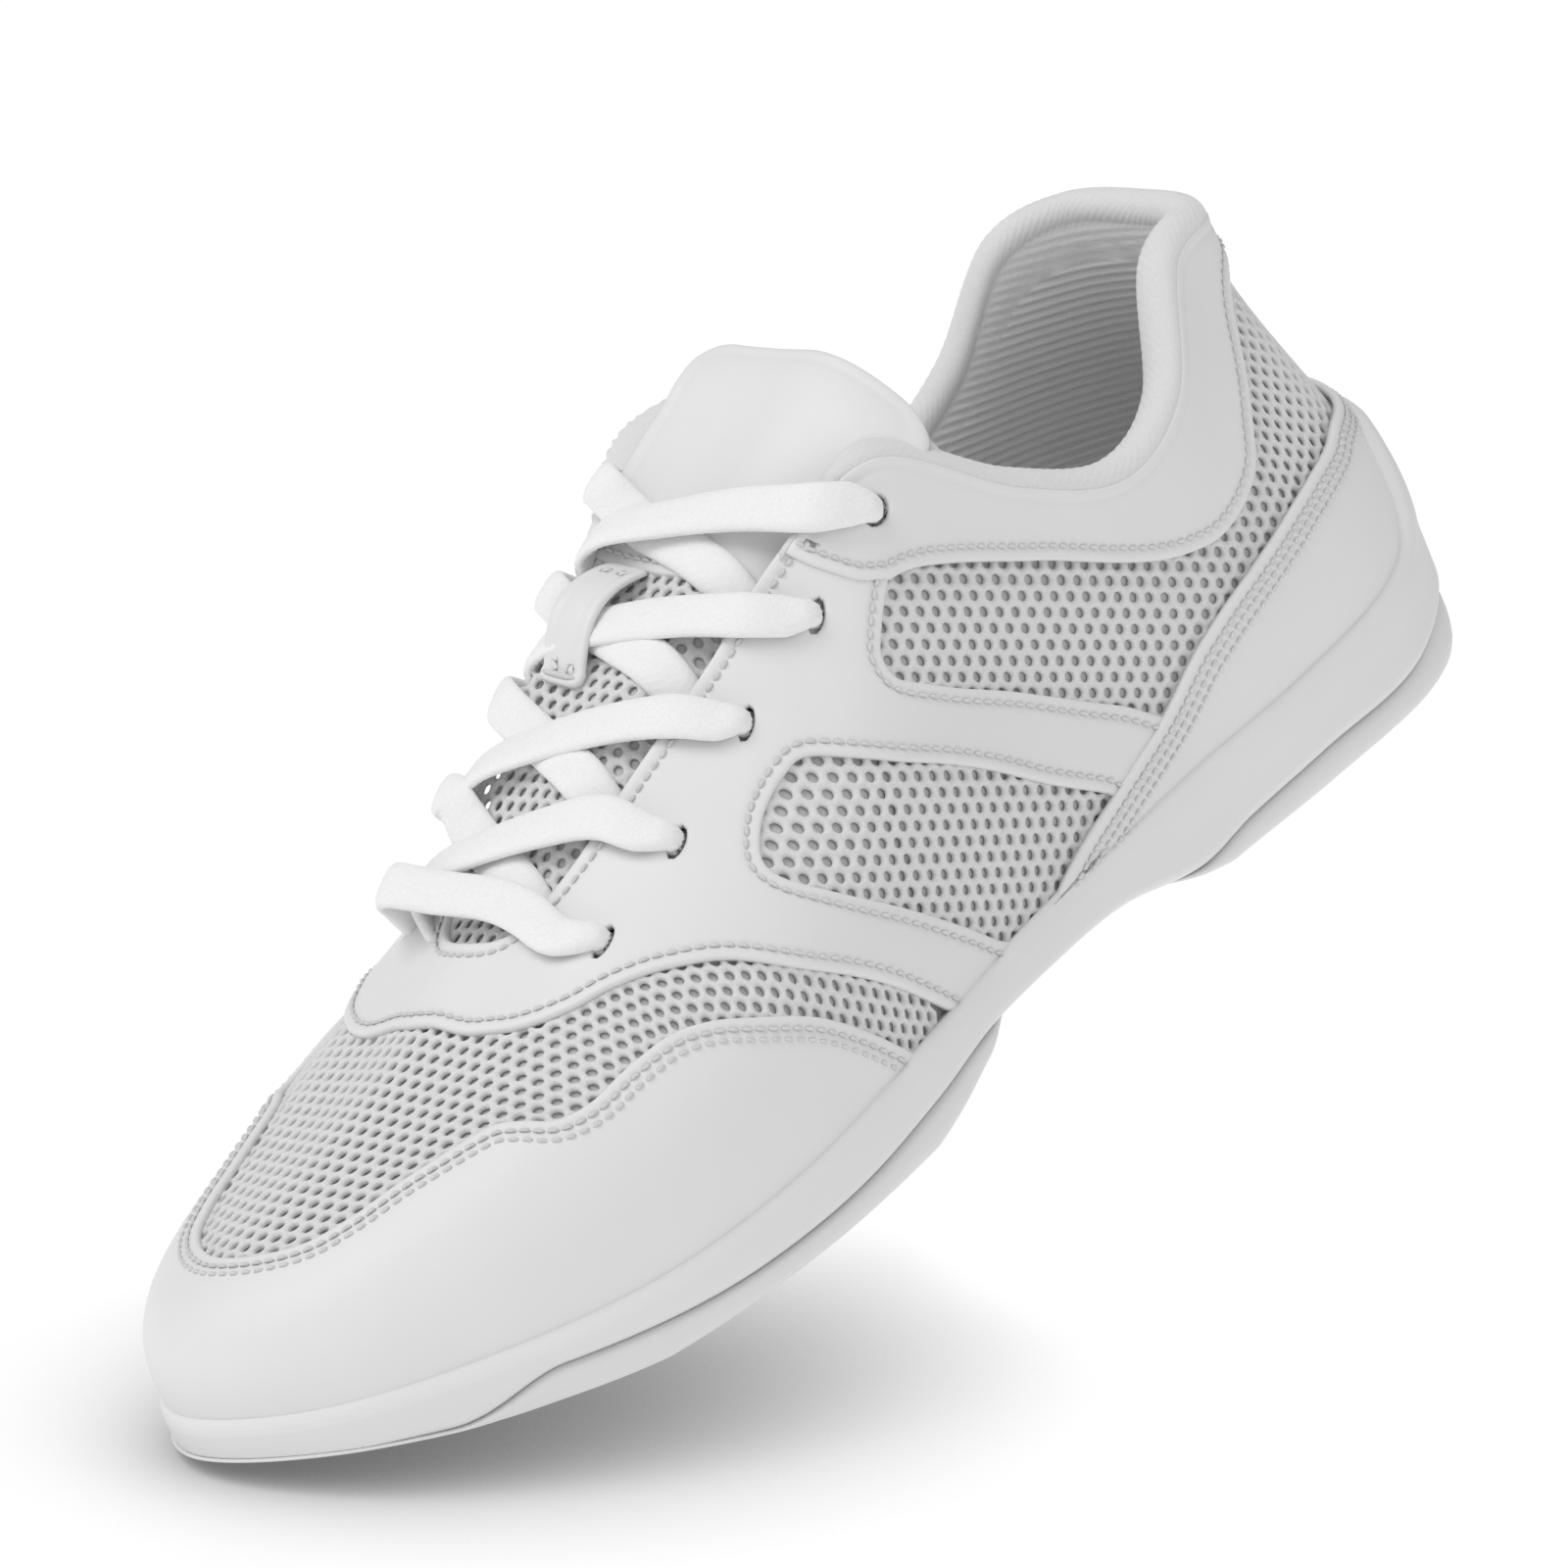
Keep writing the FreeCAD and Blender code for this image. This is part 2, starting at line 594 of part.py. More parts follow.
def tongue_face_point(across, share):
    y, z = tongue_line_at(share)
    half = along(TONGUE_HALF_WIDTH, y)
    return Vector(across * half, y, z - along(TONGUE_DROOP, y) * across ** 2)


def tongue_point(across, share, depth):
    """Depth is measured square to the tongue's middle line, the same right across it."""
    inwards = outward(tongue_face_point, 0.0, share, 0.02, 0.02)
    return placed(tongue_face_point(across, share) - inwards * depth)


def tongue_skin(first, last, inner, outer, width=1.0, columns=11, rows=21):
    return thick_skin(tongue_point, columns, rows, -width, width, constant(first), constant(last),
                      constant(inner), constant(outer))


def make_tongue():
    ply, pad = size("tongue_ply"), size("tongue_pad")
    add_shape("tongue_mesh", tongue_skin(0.0, TONGUE_PANEL_START - 0.005, -ply, 0.0))
    add_shape("tongue_face", tongue_skin(TONGUE_PANEL_START, 1.0, -ply, 0.0))
    foam_out = -ply - 2.5 * GAP
    add_shape("tongue_foam", tongue_skin(0.02, 0.985, foam_out - pad, foam_out, width=0.8))
    lining_out = foam_out - pad - 2 * GAP
    add_shape("tongue_lining", tongue_skin(0.0, 1.0, lining_out - ply, lining_out))
    first, last = LOOP_SHARES

    def loop_point(share, across, depth):
        arch = math.sin(math.pi * (share - first) / (last - first))
        return tongue_point(across, share, depth + LOOP_RISE * arch)

    add_shape("tongue_lace_loop", thick_skin(loop_point, 9, 5, first, last, constant(-LOOP_WIDTH),
                                             constant(LOOP_WIDTH), constant(5 * GAP),
                                             constant(5 * GAP + ply)))


make_tongue()

# ---------------------------------------------------------------- shoelace
def lace_cord(points):
    """A round cord through the points, with flat ends."""
    path = Part.BSplineCurve()
    path.interpolate(points)
    wire = Part.Wire([path.toShape()])
    start = path.value(path.FirstParameter)
    direction = path.tangent(path.FirstParameter)[0]
    ring = Part.Wire([Part.Circle(start, direction, size("lace_radius")).toShape()])
    return wire.makePipeShell([ring], True, True)


def tongue_top(y, lift):
    """Point over the middle of the tongue."""
    first, last = TONGUE_LINE[0][0], TONGUE_LINE[-1][0]
    return tongue_point(0.0, (y - first) / (last - first), lift)


def strand(row, side):
    """A strand from a lace hole, over the tongue, to the far edge of the throat one row down."""
    station, rise = EYELET_STATIONS[row], EYELET_RISES[row]
    far_station = 0.5 * (station + EYELET_STATIONS[row + 1]) + 0.15
    lift = size("lace_lift")
    crossing = lift + (size("lace_crossing") if side > 0 else 0.0)
    hole = upper_point(side * station, rise, -0.3)
    over = upper_point(side * (station + 0.1), min(rise + 0.05, 0.97), lift)
    middle_y = 0.5 * (band_point(station, 1.0).y + band_point(far_station, 1.0).y)
    middle = tongue_top(middle_y, crossing)
    edge = upper_point(-side * far_station, 1.0, 0.0)
    landing = tongue_top(band_point(far_station, 1.0).y, lift)
    far = landing + (edge - landing) * 0.42
    far.z = max(far.z, edge.z + 0.9)
    return lace_cord([hole, over, middle, far])


def front_bar():
    """The straight bar across the lowest pair of lace holes."""
    station, rise = EYELET_STATIONS[-1], EYELET_RISES[-1]
    lift = size("lace_lift")
    points = []
    for side in (1, -1):
        ends = [upper_point(side * station, rise, -0.3),
                upper_point(side * (station + 0.15), min(rise + 0.06, 0.97), lift + 0.4)]
        points.append(ends)
    middle_y = band_point(station, 1.0).y - 6.0
    middle = tongue_top(middle_y, lift + 1.4)
    return lace_cord(points[0] + [middle] + points[1][::-1])


def make_lace():
    rows = range(len(EYELET_STATIONS) - 1)
    strands = [strand(row, side) for row in rows for side in (1, -1)]
    add_shape("shoelace", Part.makeCompound(strands + [front_bar()]))


make_lace()


def write_parts():
    doc.recompute()
    for item in doc.Objects:
        if "Invalid" in item.State or "Error" in item.State:
            raise RuntimeError(f"{item.Label} did not build: {item.State}")
    os.makedirs("parts", exist_ok=True)
    for node in NODES:
        shape = node.Shape
        if shape.isNull() or not shape.isValid() or shape.Volume <= 0:
            raise RuntimeError(f"{node.Label} is not a sound solid")
        shape.exportStep(f"parts/{node.Label}.step")


write_parts()
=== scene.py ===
"""Looks for a low laced cheer shoe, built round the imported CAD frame.

Lengths are millimetres in the CAD's own frame until a mesh is made.  A station runs round the upper: 0 at
the back of the heel, 12 at the toe, then on to 24 along the medial side (or negative from the heel).  A
rise runs up the upper from 0 at the sole to 1 at the top line.  A depth is measured outwards.
"""
import math

import bmesh
import bpy
import numpy as np
from mathutils import Matrix, Vector
from mathutils.bvhtree import BVHTree
from mathutils.geometry import delaunay_2d_cdt


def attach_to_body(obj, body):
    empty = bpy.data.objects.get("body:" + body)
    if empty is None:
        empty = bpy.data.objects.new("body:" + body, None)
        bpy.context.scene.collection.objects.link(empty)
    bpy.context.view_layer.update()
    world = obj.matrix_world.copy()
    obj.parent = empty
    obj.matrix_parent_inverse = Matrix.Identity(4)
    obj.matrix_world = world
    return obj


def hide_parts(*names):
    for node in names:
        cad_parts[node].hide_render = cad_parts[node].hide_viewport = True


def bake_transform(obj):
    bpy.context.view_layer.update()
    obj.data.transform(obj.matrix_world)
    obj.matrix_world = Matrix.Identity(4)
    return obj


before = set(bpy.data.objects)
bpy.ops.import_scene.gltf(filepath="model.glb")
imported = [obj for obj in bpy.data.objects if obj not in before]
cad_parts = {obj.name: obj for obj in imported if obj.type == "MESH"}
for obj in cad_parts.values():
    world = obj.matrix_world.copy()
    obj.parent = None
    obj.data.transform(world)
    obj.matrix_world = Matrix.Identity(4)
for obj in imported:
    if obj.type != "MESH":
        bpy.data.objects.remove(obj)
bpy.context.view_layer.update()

MM = 0.001
TOE = 12
RING = 2 * TOE
SHIFT = np.array([-2.07, 3.25, 0.0])     # the outlines' own middle to the frame's origin

# ------------------------------------------------------------------ outlines shared with the CAD
# y, lateral x, medial x, lateral z, medial z, one row per station from heel to toe.
FEATHER_LINE = (
    (126.5, 0, 0, 21.5, 21.5), (118.5, 20, -19, 21, 21), (102, 30.5, -28.5, 19.5, 19.5),
    (76, 33, -29.5, 17.5, 17.5), (50, 33, -28, 16.5, 16.5), (24, 35, -29, 15.5, 15.5),
    (-1, 39.5, -33, 15, 15), (-26, 44.5, -38.5, 13.5, 13.5), (-52, 47, -42.5, 11.5, 11.5),
    (-78, 44, -41.5, 11, 11), (-103, 34.5, -34, 13, 13), (-123.5, 19, -21.5, 16, 16),
    (-133, -2, -2, 18, 18))
TOP_LINE = (
    (113, 0, 0, 83, 83), (108.5, 15, -15, 83, 85), (95, 20.5, -22, 81.5, 84),
    (80, 27.5, -26.5, 66.5, 70), (63.5, 29, -28, 61.5, 64), (46.5, 26.5, -26, 70, 69.5),
    (27.5, 21, -19.5, 86, 83), (7, 17, -16, 79.7, 77.2), (-11.5, 15.5, -15, 71.3, 70.3),
    (-30, 14, -14.5, 64, 63), (-45.5, 12, -13, 57, 55.5), (-55.5, 7.5, -9.5, 52.5, 51.5),
    (-58.5, -1, -1, 52, 52))
# Bulge at the foot, reach of the foot and of the top of each column, slope of its top in degrees.
BAND_BEND = (
    (3.5, 0.30, 0.30, 95), (3.5, 0.30, 0.30, 95), (3.0, 0.33, 0.30, 92), (2.5, 0.36, 0.30, 88),
    (2.0, 0.38, 0.30, 86), (2.0, 0.40, 0.35, 78), (2.0, 0.45, 0.40, 68), (2.5, 0.50, 0.45, 55),
    (3.0, 0.55, 0.50, 45), (3.0, 0.60, 0.50, 38), (3.0, 0.65, 0.50, 32), (3.0, 0.70, 0.55, 27),
    (2.5, 0.72, 0.60, 25))
TREAD_PROFILE = (
    (160, 6.0), (140, 2.0), (124, -0.4), (100, -1.0), (80, -1.0), (56, -0.6), (43, 2.2),
    (28, 6.8), (10, 8.0), (-6, 6.2), (-20, 1.8), (-32, -0.6), (-55, -1.0), (-78, -0.5),
    (-102, 3.2), (-120, 7.6), (-134, 11.4), (-160, 19.0))
MIDSOLE_PROFILE = (
    (160, 15.0), (133, 12.2), (118, 10.6), (98, 5.9), (76, 5.6), (58, 4.6), (45, 3.2), (28, 7.0),
    (10, 8.2), (-8, 8.4), (-24, 6.4), (-42, 4.6), (-62, 4.2), (-78, 5.2), (-100, 8.4),
    (-118, 12.0), (-134, 15.2), (-160, 22.0))
# Edges of the overlays: station, rise.
TOE_CAP_EDGE = ((6.9, 0.0), (7.2, 0.11), (7.51, 0.21), (7.92, 0.315), (8.28, 0.397), (8.62, 0.443),
                (8.96, 0.443), (9.2, 0.425), (9.45, 0.438), (9.75, 0.498), (10.07, 0.539),
                (10.64, 0.53), (11.0, 0.482), (11.3, 0.452), (12.0, 0.445))
EYESTAY_FRONT = ((6.43, -0.02), (6.88, 0.132), (7.41, 0.288), (8.05, 0.484), (8.6, 0.594),
                 (9.09, 0.658), (9.52, 0.694), (10.11, 0.758), (10.73, 0.831), (11.5, 0.885),
                 (12.0, 0.892))
MEDIAL_STAY_FRONT = ((6.43, -0.02), (6.88, 0.10), (7.41, 0.22), (8.05, 0.37), (8.6, 0.50),
                     (9.09, 0.585), (9.52, 0.64), (10.11, 0.725), (10.73, 0.81), (11.4, 0.875),
                     (12.0, 0.892))
COLLAR_EDGE = ((0.0, 0.86), (1.13, 0.84), (1.94, 0.662), (2.32, 0.59), (2.6, 0.535), (3.11, 0.539),
               (3.51, 0.598), (4.26, 0.735), (4.98, 0.80), (5.68, 0.785), (6.07, 0.781))
COLLAR_NOSE = ((6.07, 0.781), (6.32, 0.822), (6.62, 0.904), (6.9, 0.985))
HEEL_EDGE = ((0.0, 0.40), (1.4, 0.393), (1.9, 0.37), (2.98, 0.384), (3.56, 0.329), (4.02, 0.21),
             (4.56, 0.114), (5.02, 0.05), (5.5, -0.02))
FRONT_WINDOW = ((7.32, 0.694), (7.02, 0.658), (6.17, 0.438), (5.28, 0.297), (4.58, 0.114),
                (4.83, 0.07), (5.28, 0.0), (5.75, 0.0), (6.11, 0.091), (6.81, 0.292), (7.39, 0.479),
                (7.64, 0.58), (7.68, 0.639), (7.58, 0.685))
REAR_WINDOW_FOOT = ((5.95, 0.84), (6.12, 0.76), (6.22, 0.70), (6.24, 0.658), (6.11, 0.594),
                    (5.73, 0.534), (5.09, 0.479), (4.39, 0.338), (4.02, 0.21), (3.85, 0.13))
EYELETS = ((6.07, 0.905), (6.75, 0.855), (7.64, 0.854), (8.49, 0.813), (9.26, 0.772))
EYELET_RADIUS = 2.3
EYELET_SPOTS = [(station if side > 0 else RING - station, rise)
                for side in (1, -1) for station, rise in EYELETS]
LAST_RISE = -0.035           # where an overlay ends, tucked behind the sole's edge
# Tongue: middle line y, z; then half width and droop at y, for the lateral and the medial half.  The
# medial edge stands up out of the throat, because the laces pull the tongue that way.
TONGUE_LINE = ((-68, 44.5), (-58.5, 49.6), (-52, 53.2), (-45, 57.2), (-32, 64.8), (-18, 71.5),
               (0, 79.0), (14, 85.0), (25, 90.5), (33, 94.5), (39.5, 96.5))
LATERAL_HALF = ((-68, 18), (-45, 18), (-18, 17), (0, 17), (14, 18), (25, 20), (31, 22), (39.5, 23))
MEDIAL_HALF = ((-68, 18), (-45, 18), (-32, 18), (-18, 19), (-8, 20.5), (2, 23.5), (10, 27.5),
               (18, 30), (25, 29), (30, 25), (39.5, 22))
LATERAL_DROOP = ((-68, 5), (-57, 5), (-45, 8), (-30, 10), (-18, 12), (0, 13), (14, 13), (25, 12),
                 (31, 12), (39.5, 14))
MEDIAL_DROOP = ((-68, 4), (-57, 3), (-45, 2), (-30, -1), (-18, -3), (-6, -3.5), (4, -4.5),
                (12, -6.5), (20, -6.5), (28, -4), (36, -2), (39.5, -1.5))

# Where the fabric bends: the toe joint's stretch and the tongue joint's stretch, along the shoe.
FLEX_START, FLEX_END = (0.0, -0.024, 0.0), (0.0, -0.078, 0.0)
FOLD_START, FOLD_END = (0.0, 0.016, 0.0), (0.0, 0.036, 0.0)

# Depths of the plies.
LEATHER = 1.25            # thickness of an overlay
RAISED = 0.75             # an overlay that lies on another overlay
NET_DEPTH = -1.05         # crest of the mesh threads
BACKING_DEPTH = -2.3
PITCH, ROW_PITCH, HOLE = 2.97, 2.42, 0.84     # the net's cells: spacing, row spacing, hole radius


# ------------------------------------------------------------------ curves and the upper's surface
def closed_ring(rows):
    lateral = [(row[1], row[0], row[3]) for row in rows]
    medial = [(row[2], row[0], row[4]) for row in rows[-2:0:-1]]
    return np.array(lateral + medial, float)


FEATHER_RING = closed_ring(FEATHER_LINE)
TOP_RING = closed_ring(TOP_LINE)
BEND_RING = np.array(list(BAND_BEND) + list(BAND_BEND[-2:0:-1]), float)


def spline(before, start, end, after, share):
    """A smooth curve between start and end."""
    return 0.5 * (2 * start + (end - before) * share
                  + (2 * before - 5 * start + 4 * end - after) * share ** 2
                  + (3 * start - before - 3 * end + after) * share ** 3)


def hermite(knots, values, slopes, at):
    """A smooth curve through the values at the knots, with the slopes there."""
    index = np.clip(np.searchsorted(knots, at) - 1, 0, len(knots) - 2)
    width = knots[index + 1] - knots[index]
    share = (at - knots[index]) / width
    if values.ndim > 1:
        width, share = width[:, None], share[:, None]
    cube, square = share ** 3, share ** 2
    return (values[index] * (2 * cube - 3 * square + 1)
            + slopes[index] * width * (cube - 2 * square + share)
            + values[index + 1] * (3 * square - 2 * cube)
            + slopes[index + 1] * width * (cube - square))


def lengths(line):
    """Distance along a line of points, 0 at its first point."""
    return np.concatenate([[0], np.cumsum(np.linalg.norm(np.diff(line, axis=0), axis=1))])


def resampled(at, run, line):
    """The points of a line at the given distances, where run holds its own points' distances."""
    return np.stack([np.interp(at, run, column) for column in np.transpose(line)], -1)


def full_turn(count):
    return np.linspace(0, 2 * np.pi, count, endpoint=False)


def rounded(value, power):
    """A power that keeps the sign: it squares off a wave or a circle."""
    return np.sign(value) * np.abs(value) ** power


def ease(share):
    return share * share * (3 - 2 * share)


def ring_values(rows, station):
    turn = np.mod(station, RING)
    first = np.floor(turn).astype(int)
    share = (turn - first)[..., None]
    before, start, end, after = [rows[(first + step) % RING] for step in (-1, 0, 1, 2)]
    return spline(before, start, end, after, share)


def along(profile, position):
    """Smooth height at a position along an open profile of (position, height) points."""
    points = np.array(sorted(profile), float)
    at, height = points[:, 0], points[:, 1]
    slope = np.gradient(height, at)
    slope[1:-1] = (height[2:] - height[:-2]) / (at[2:] - at[:-2])
    return hermite(at, height, slope, np.clip(position, at[0], at[-1]))


def unit(vectors):
    return vectors / np.maximum(np.linalg.norm(vectors, axis=-1, keepdims=True), 1e-9)


def band(station, rise):
    """Points on the outside of the upper."""
    station, rise = np.broadcast_arrays(np.asarray(station, float), np.asarray(rise, float))
    foot, top = ring_values(FEATHER_RING, station), ring_values(TOP_RING, station)
    bulge, low, high, slope = [ring_values(BEND_RING, station)[..., k:k + 1] for k in range(4)]
    run = top[..., :2] - foot[..., :2]
    length = np.maximum(np.linalg.norm(run, axis=-1, keepdims=True), 1e-9)
    centre = np.stack([-foot[..., 0], np.clip(foot[..., 1], -70, 96) - foot[..., 1]], -1)
    trust = np.minimum(length / 12.0, 1.0)
    inward = unit(unit(centre) * (1 - trust) + run / length * trust)
    lift = top[..., 2:] - foot[..., 2:]
    reach = high * np.hypot(length, lift)
    level, climb = np.cos(np.radians(slope)) * reach, np.sin(np.radians(slope)) * reach
    second = np.concatenate([foot[..., :2] - inward * bulge, foot[..., 2:] + low * lift], -1)
    third = np.concatenate([top[..., :2] - inward * level, top[..., 2:] - climb], -1)
    rise = rise[..., None]
    rest = 1 - rise
    return (rest ** 3 * foot + 3 * rest ** 2 * rise * second + 3 * rest * rise ** 2 * third
            + rise ** 3 * top) + SHIFT


def band_frame(station, rise):
    """Point, steps per station and per rise, and the outward normal."""
    across = (band(station + 0.02, rise) - band(station - 0.02, rise)) / 0.04
    up = (band(station, rise + 0.005) - band(station, rise - 0.005)) / 0.01
    return band(station, rise), across, up, unit(np.cross(up, across))


def upper(station, rise, depth):
    point, _, _, normal = band_frame(np.asarray(station, float), np.asarray(rise, float))
    return point + normal * np.asarray(depth, float)[..., None]


def solve_in_surface(across, up, vector):
    """Steps of station and rise that move a surface point by a vector."""
    aa, au, uu = (across * across).sum(-1), (across * up).sum(-1), (up * up).sum(-1)
    va, vu = (vector * across).sum(-1), (vector * up).sum(-1)
    area = aa * uu - au * au
    return np.stack([(uu * va - au * vu) / area, (aa * vu - au * va) / area], -1)


def tongue_half(side, y):
    return np.where(side >= 0, along(LATERAL_HALF, y), along(MEDIAL_HALF, y))


def tongue_y(share):
    return TONGUE_LINE[0][0] + (TONGUE_LINE[-1][0] - TONGUE_LINE[0][0]) * np.asarray(share, float)


def tongue_face(side, share):
    """side runs -1 (medial) to 1 (lateral) across the tongue, share 0..1 along it."""
    side, share = np.broadcast_arrays(np.asarray(side, float), np.asarray(share, float))
    y = tongue_y(share)
    droop = np.where(side >= 0, along(LATERAL_DROOP, y), along(MEDIAL_DROOP, y))
    z = along(TONGUE_LINE, y) - droop * side ** 2
    return np.stack([side * tongue_half(side, y), y, z], -1) + SHIFT


def tongue(side, share, depth):
    side, share = np.broadcast_arrays(np.asarray(side, float), np.asarray(share, float))
    up = tongue_face(0 * side, share + 0.02) - tongue_face(0 * side, share - 0.02)
    normal = unit(np.stack([0 * side, -up[..., 2], up[..., 1]], -1))
    return tongue_face(side, share) + normal * np.broadcast_to(depth, side.shape)[..., None]


def over_tongue(x, y, lift):
    """Point a little above the tongue at x, y of the frame, and the way its face looks there."""
    first, last = TONGUE_LINE[0][0], TONGUE_LINE[-1][0]
    x, y = x - SHIFT[0], y - SHIFT[1]
    side, share = x / float(tongue_half(x, y)), (y - first) / (last - first)
    step = 0.1
    across = tongue(side + step, share, 0.0) - tongue(side - step, share, 0.0)
    ahead = tongue(side, share + 0.02, 0.0) - tongue(side, share - 0.02, 0.0)
    facing = unit(np.cross(across, ahead))
    return tongue(side, share, 0.0) + facing * lift, facing


# ------------------------------------------------------------------ meshes
def add_object(name, data):
    item = bpy.data.objects.new(name, data)
    bpy.context.scene.collection.objects.link(item)
    return item


def new_piece(name, points, faces, material):
    mesh = bpy.data.meshes.new(name)
    mesh.from_pydata((np.asarray(points, float) * MM).tolist(), [], [tuple(f) for f in faces])
    mesh.update()
    work = bmesh.new()
    work.from_mesh(mesh)
    bmesh.ops.remove_doubles(work, verts=work.verts, dist=2e-6)
    bmesh.ops.dissolve_degenerate(work, edges=work.edges, dist=1e-7)
    bmesh.ops.recalc_face_normals(work, faces=work.faces)
    loose = [v for v in work.verts if not v.link_faces]
    bmesh.ops.delete(work, geom=loose, context="VERTS")
    work.to_mesh(mesh)
    work.free()
    for polygon in mesh.polygons:
        polygon.use_smooth = True
    mesh.materials.append(material)
    return add_object(name, mesh)


def grid_faces(rows, columns, wrap_rows=False, wrap_columns=False, first=0):
    faces = []
    for row in range(rows if wrap_rows else rows - 1):
        for column in range(columns if wrap_columns else columns - 1):
            a = row * columns + column
            b = row * columns + (column + 1) % columns
            c = ((row + 1) % rows) * columns + (column + 1) % columns
            d = ((row + 1) % rows) * columns + column
            faces.append((first + a, first + b, first + c, first + d))
    return faces


def tube_faces(rows, sides, first=0):
    """A tube of rings with both ends closed."""
    last = first + (rows - 1) * sides
    return (grid_faces(rows, sides, wrap_columns=True, first=first)
            + [tuple(range(first, first + sides))[::-1], tuple(range(last, last + sides))])


def attach(piece, slot, kind, *nodes):
    """Puts a finished piece on its body, or bakes its transform where it crosses a joint, and hides the
    CAD parts it stands for; the slot is not used.
    """
    if nodes:
        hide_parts(*nodes)
    if kind == "flex":
        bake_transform(piece)
        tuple(FLEX_START)
        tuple(FLEX_END)
    elif kind == "fold":
        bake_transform(piece)
        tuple(FOLD_START)
        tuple(FOLD_END)
    else:
        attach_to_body(piece, kind)
    return piece


# ------------------------------------------------------------------ outlines on the upper
def run_of(points, per_span=10):
    """A smooth open run of (station, rise) through the points."""
    p = np.array(points, float)
    p = np.vstack([2 * p[0] - p[1], p, 2 * p[-1] - p[-2]])
    share = np.linspace(0, 1, per_span, endpoint=False)[:, None]
    spans = [spline(*four, share) for four in zip(p[:-3], p[1:-2], p[2:-1], p[3:])]
    return np.vstack(spans + [p[-2:-1]])


def closed_run(points, per_span=10):
    p = np.array(points, float)
    share = np.linspace(0, 1, per_span, endpoint=False)[:, None]
    turned = [np.roll(p, step, 0) for step in (1, 0, -1, -2)]
    return np.vstack([spline(*four, share) for four in zip(*turned)])


def mirrored(run):
    """The same run on the other side of the toe, in the opposite direction."""
    return np.stack([RING - run[::-1, 0], run[::-1, 1]], -1)


def mirrored_heel(run):
    return np.stack([-run[::-1, 0], run[::-1, 1]], -1)


def even(loop, spacing, closed=True):
    """The same line with points evenly spaced on the surface."""
    line = np.vstack([loop, loop[:1]]) if closed else loop
    point = band(line[:, 0], line[:, 1])
    length = lengths(point)
    count = max(int(round(length[-1] / spacing)), 8)
    at = np.linspace(0, length[-1], count, endpoint=not closed)
    return resampled(at, length, line)


def chart_area(loop):
    x, y = loop[:, 0], loop[:, 1]
    return 0.5 * float(np.sum(x * np.roll(y, -1) - np.roll(x, -1) * y))


def inset(loop, distance, closed=True):
    """Moves a line sideways within the surface, to the left of its travel."""
    point, across, up, normal = band_frame(loop[:, 0], loop[:, 1])
    if closed:
        ahead = np.roll(point, -1, 0) - np.roll(point, 1, 0)
        ahead = ahead + 0.5 * (np.roll(ahead, -1, 0) + np.roll(ahead, 1, 0))
    else:
        ahead = np.gradient(point, axis=0)
    left = unit(np.cross(unit(ahead), normal))
    return loop + distance * solve_in_surface(across, up, left)


def inside(points, loops):
    """Even-odd test of chart points against closed loops."""
    odd = np.zeros(len(points), bool)
    for loop in loops:
        a, b = loop, np.roll(loop, -1, 0)
        for (ax, ay), (bx, by) in zip(a, b):
            if ay == by:
                continue
            crosses = (points[:, 1] > min(ay, by)) & (points[:, 1] <= max(ay, by))
            x = ax + (points[:, 1] - ay) * (bx - ax) / (by - ay)
            odd ^= crosses & (points[:, 0] < x)
    return odd


CHART = np.array([22.0, 58.0])     # rough millimetres per station and per rise


def fill(loops, spacing):
    """Triangles between closed loops.  Returns extra (station, rise) points and faces."""
    flat = [loop * CHART for loop in loops]
    low, high = np.min(np.vstack(flat), 0), np.max(np.vstack(flat), 0)
    xs = np.arange(low[0], high[0], spacing)
    ys = np.arange(low[1], high[1], spacing * 0.87)
    grid = np.array([(x + (0.5 * spacing if k % 2 else 0), y) for k, y in enumerate(ys) for x in xs])
    grid = grid[inside(grid, flat)]
    border = np.vstack(flat)
    near = np.array([np.min(np.sum((border - g) ** 2, 1)) for g in grid]) if len(grid) else []
    grid = grid[np.asarray(near) > (0.55 * spacing) ** 2] if len(grid) else grid
    points = np.vstack([border, grid])
    edges, start = [], 0
    for loop in flat:
        count = len(loop)
        edges += [(start + k, start + (k + 1) % count) for k in range(count)]
        start += count
    result = delaunay_2d_cdt([Vector(p) for p in points], edges, [], 0, 1e-5)
    out_points, faces, sources = np.array([tuple(v) for v in result[0]]), result[2], result[3]
    table, extra = {}, list(grid)
    for index, source in enumerate(sources):
        if source:
            table[index] = source[0]
        else:
            table[index] = len(border) + len(extra)
            extra.append(out_points[index])
    middles = np.array([out_points[list(face)].mean(0) for face in faces])
    keep = inside(middles, flat)
    faces = [tuple(table[v] for v in face) for face, good in zip(faces, keep) if good]
    extra = np.array(extra).reshape(-1, 2) / CHART
    return extra, faces


# insets from the cut edge and heights there: a rolled edge, then a stitch channel.
SPACING = 1.3                # between the points round a panel
SMALL_LOOP = 40              # a hole with fewer points than this is a lace hole
EDGE_RINGS = ((0.0, -LEATHER), (0.0, -0.45), (0.16, -0.12), (0.5, 0.03), (1.1, 0.0))
CHANNEL_RINGS = ((1.5, -0.02), (2.0, -0.2), (2.5, -0.02), (3.4, 0.04))


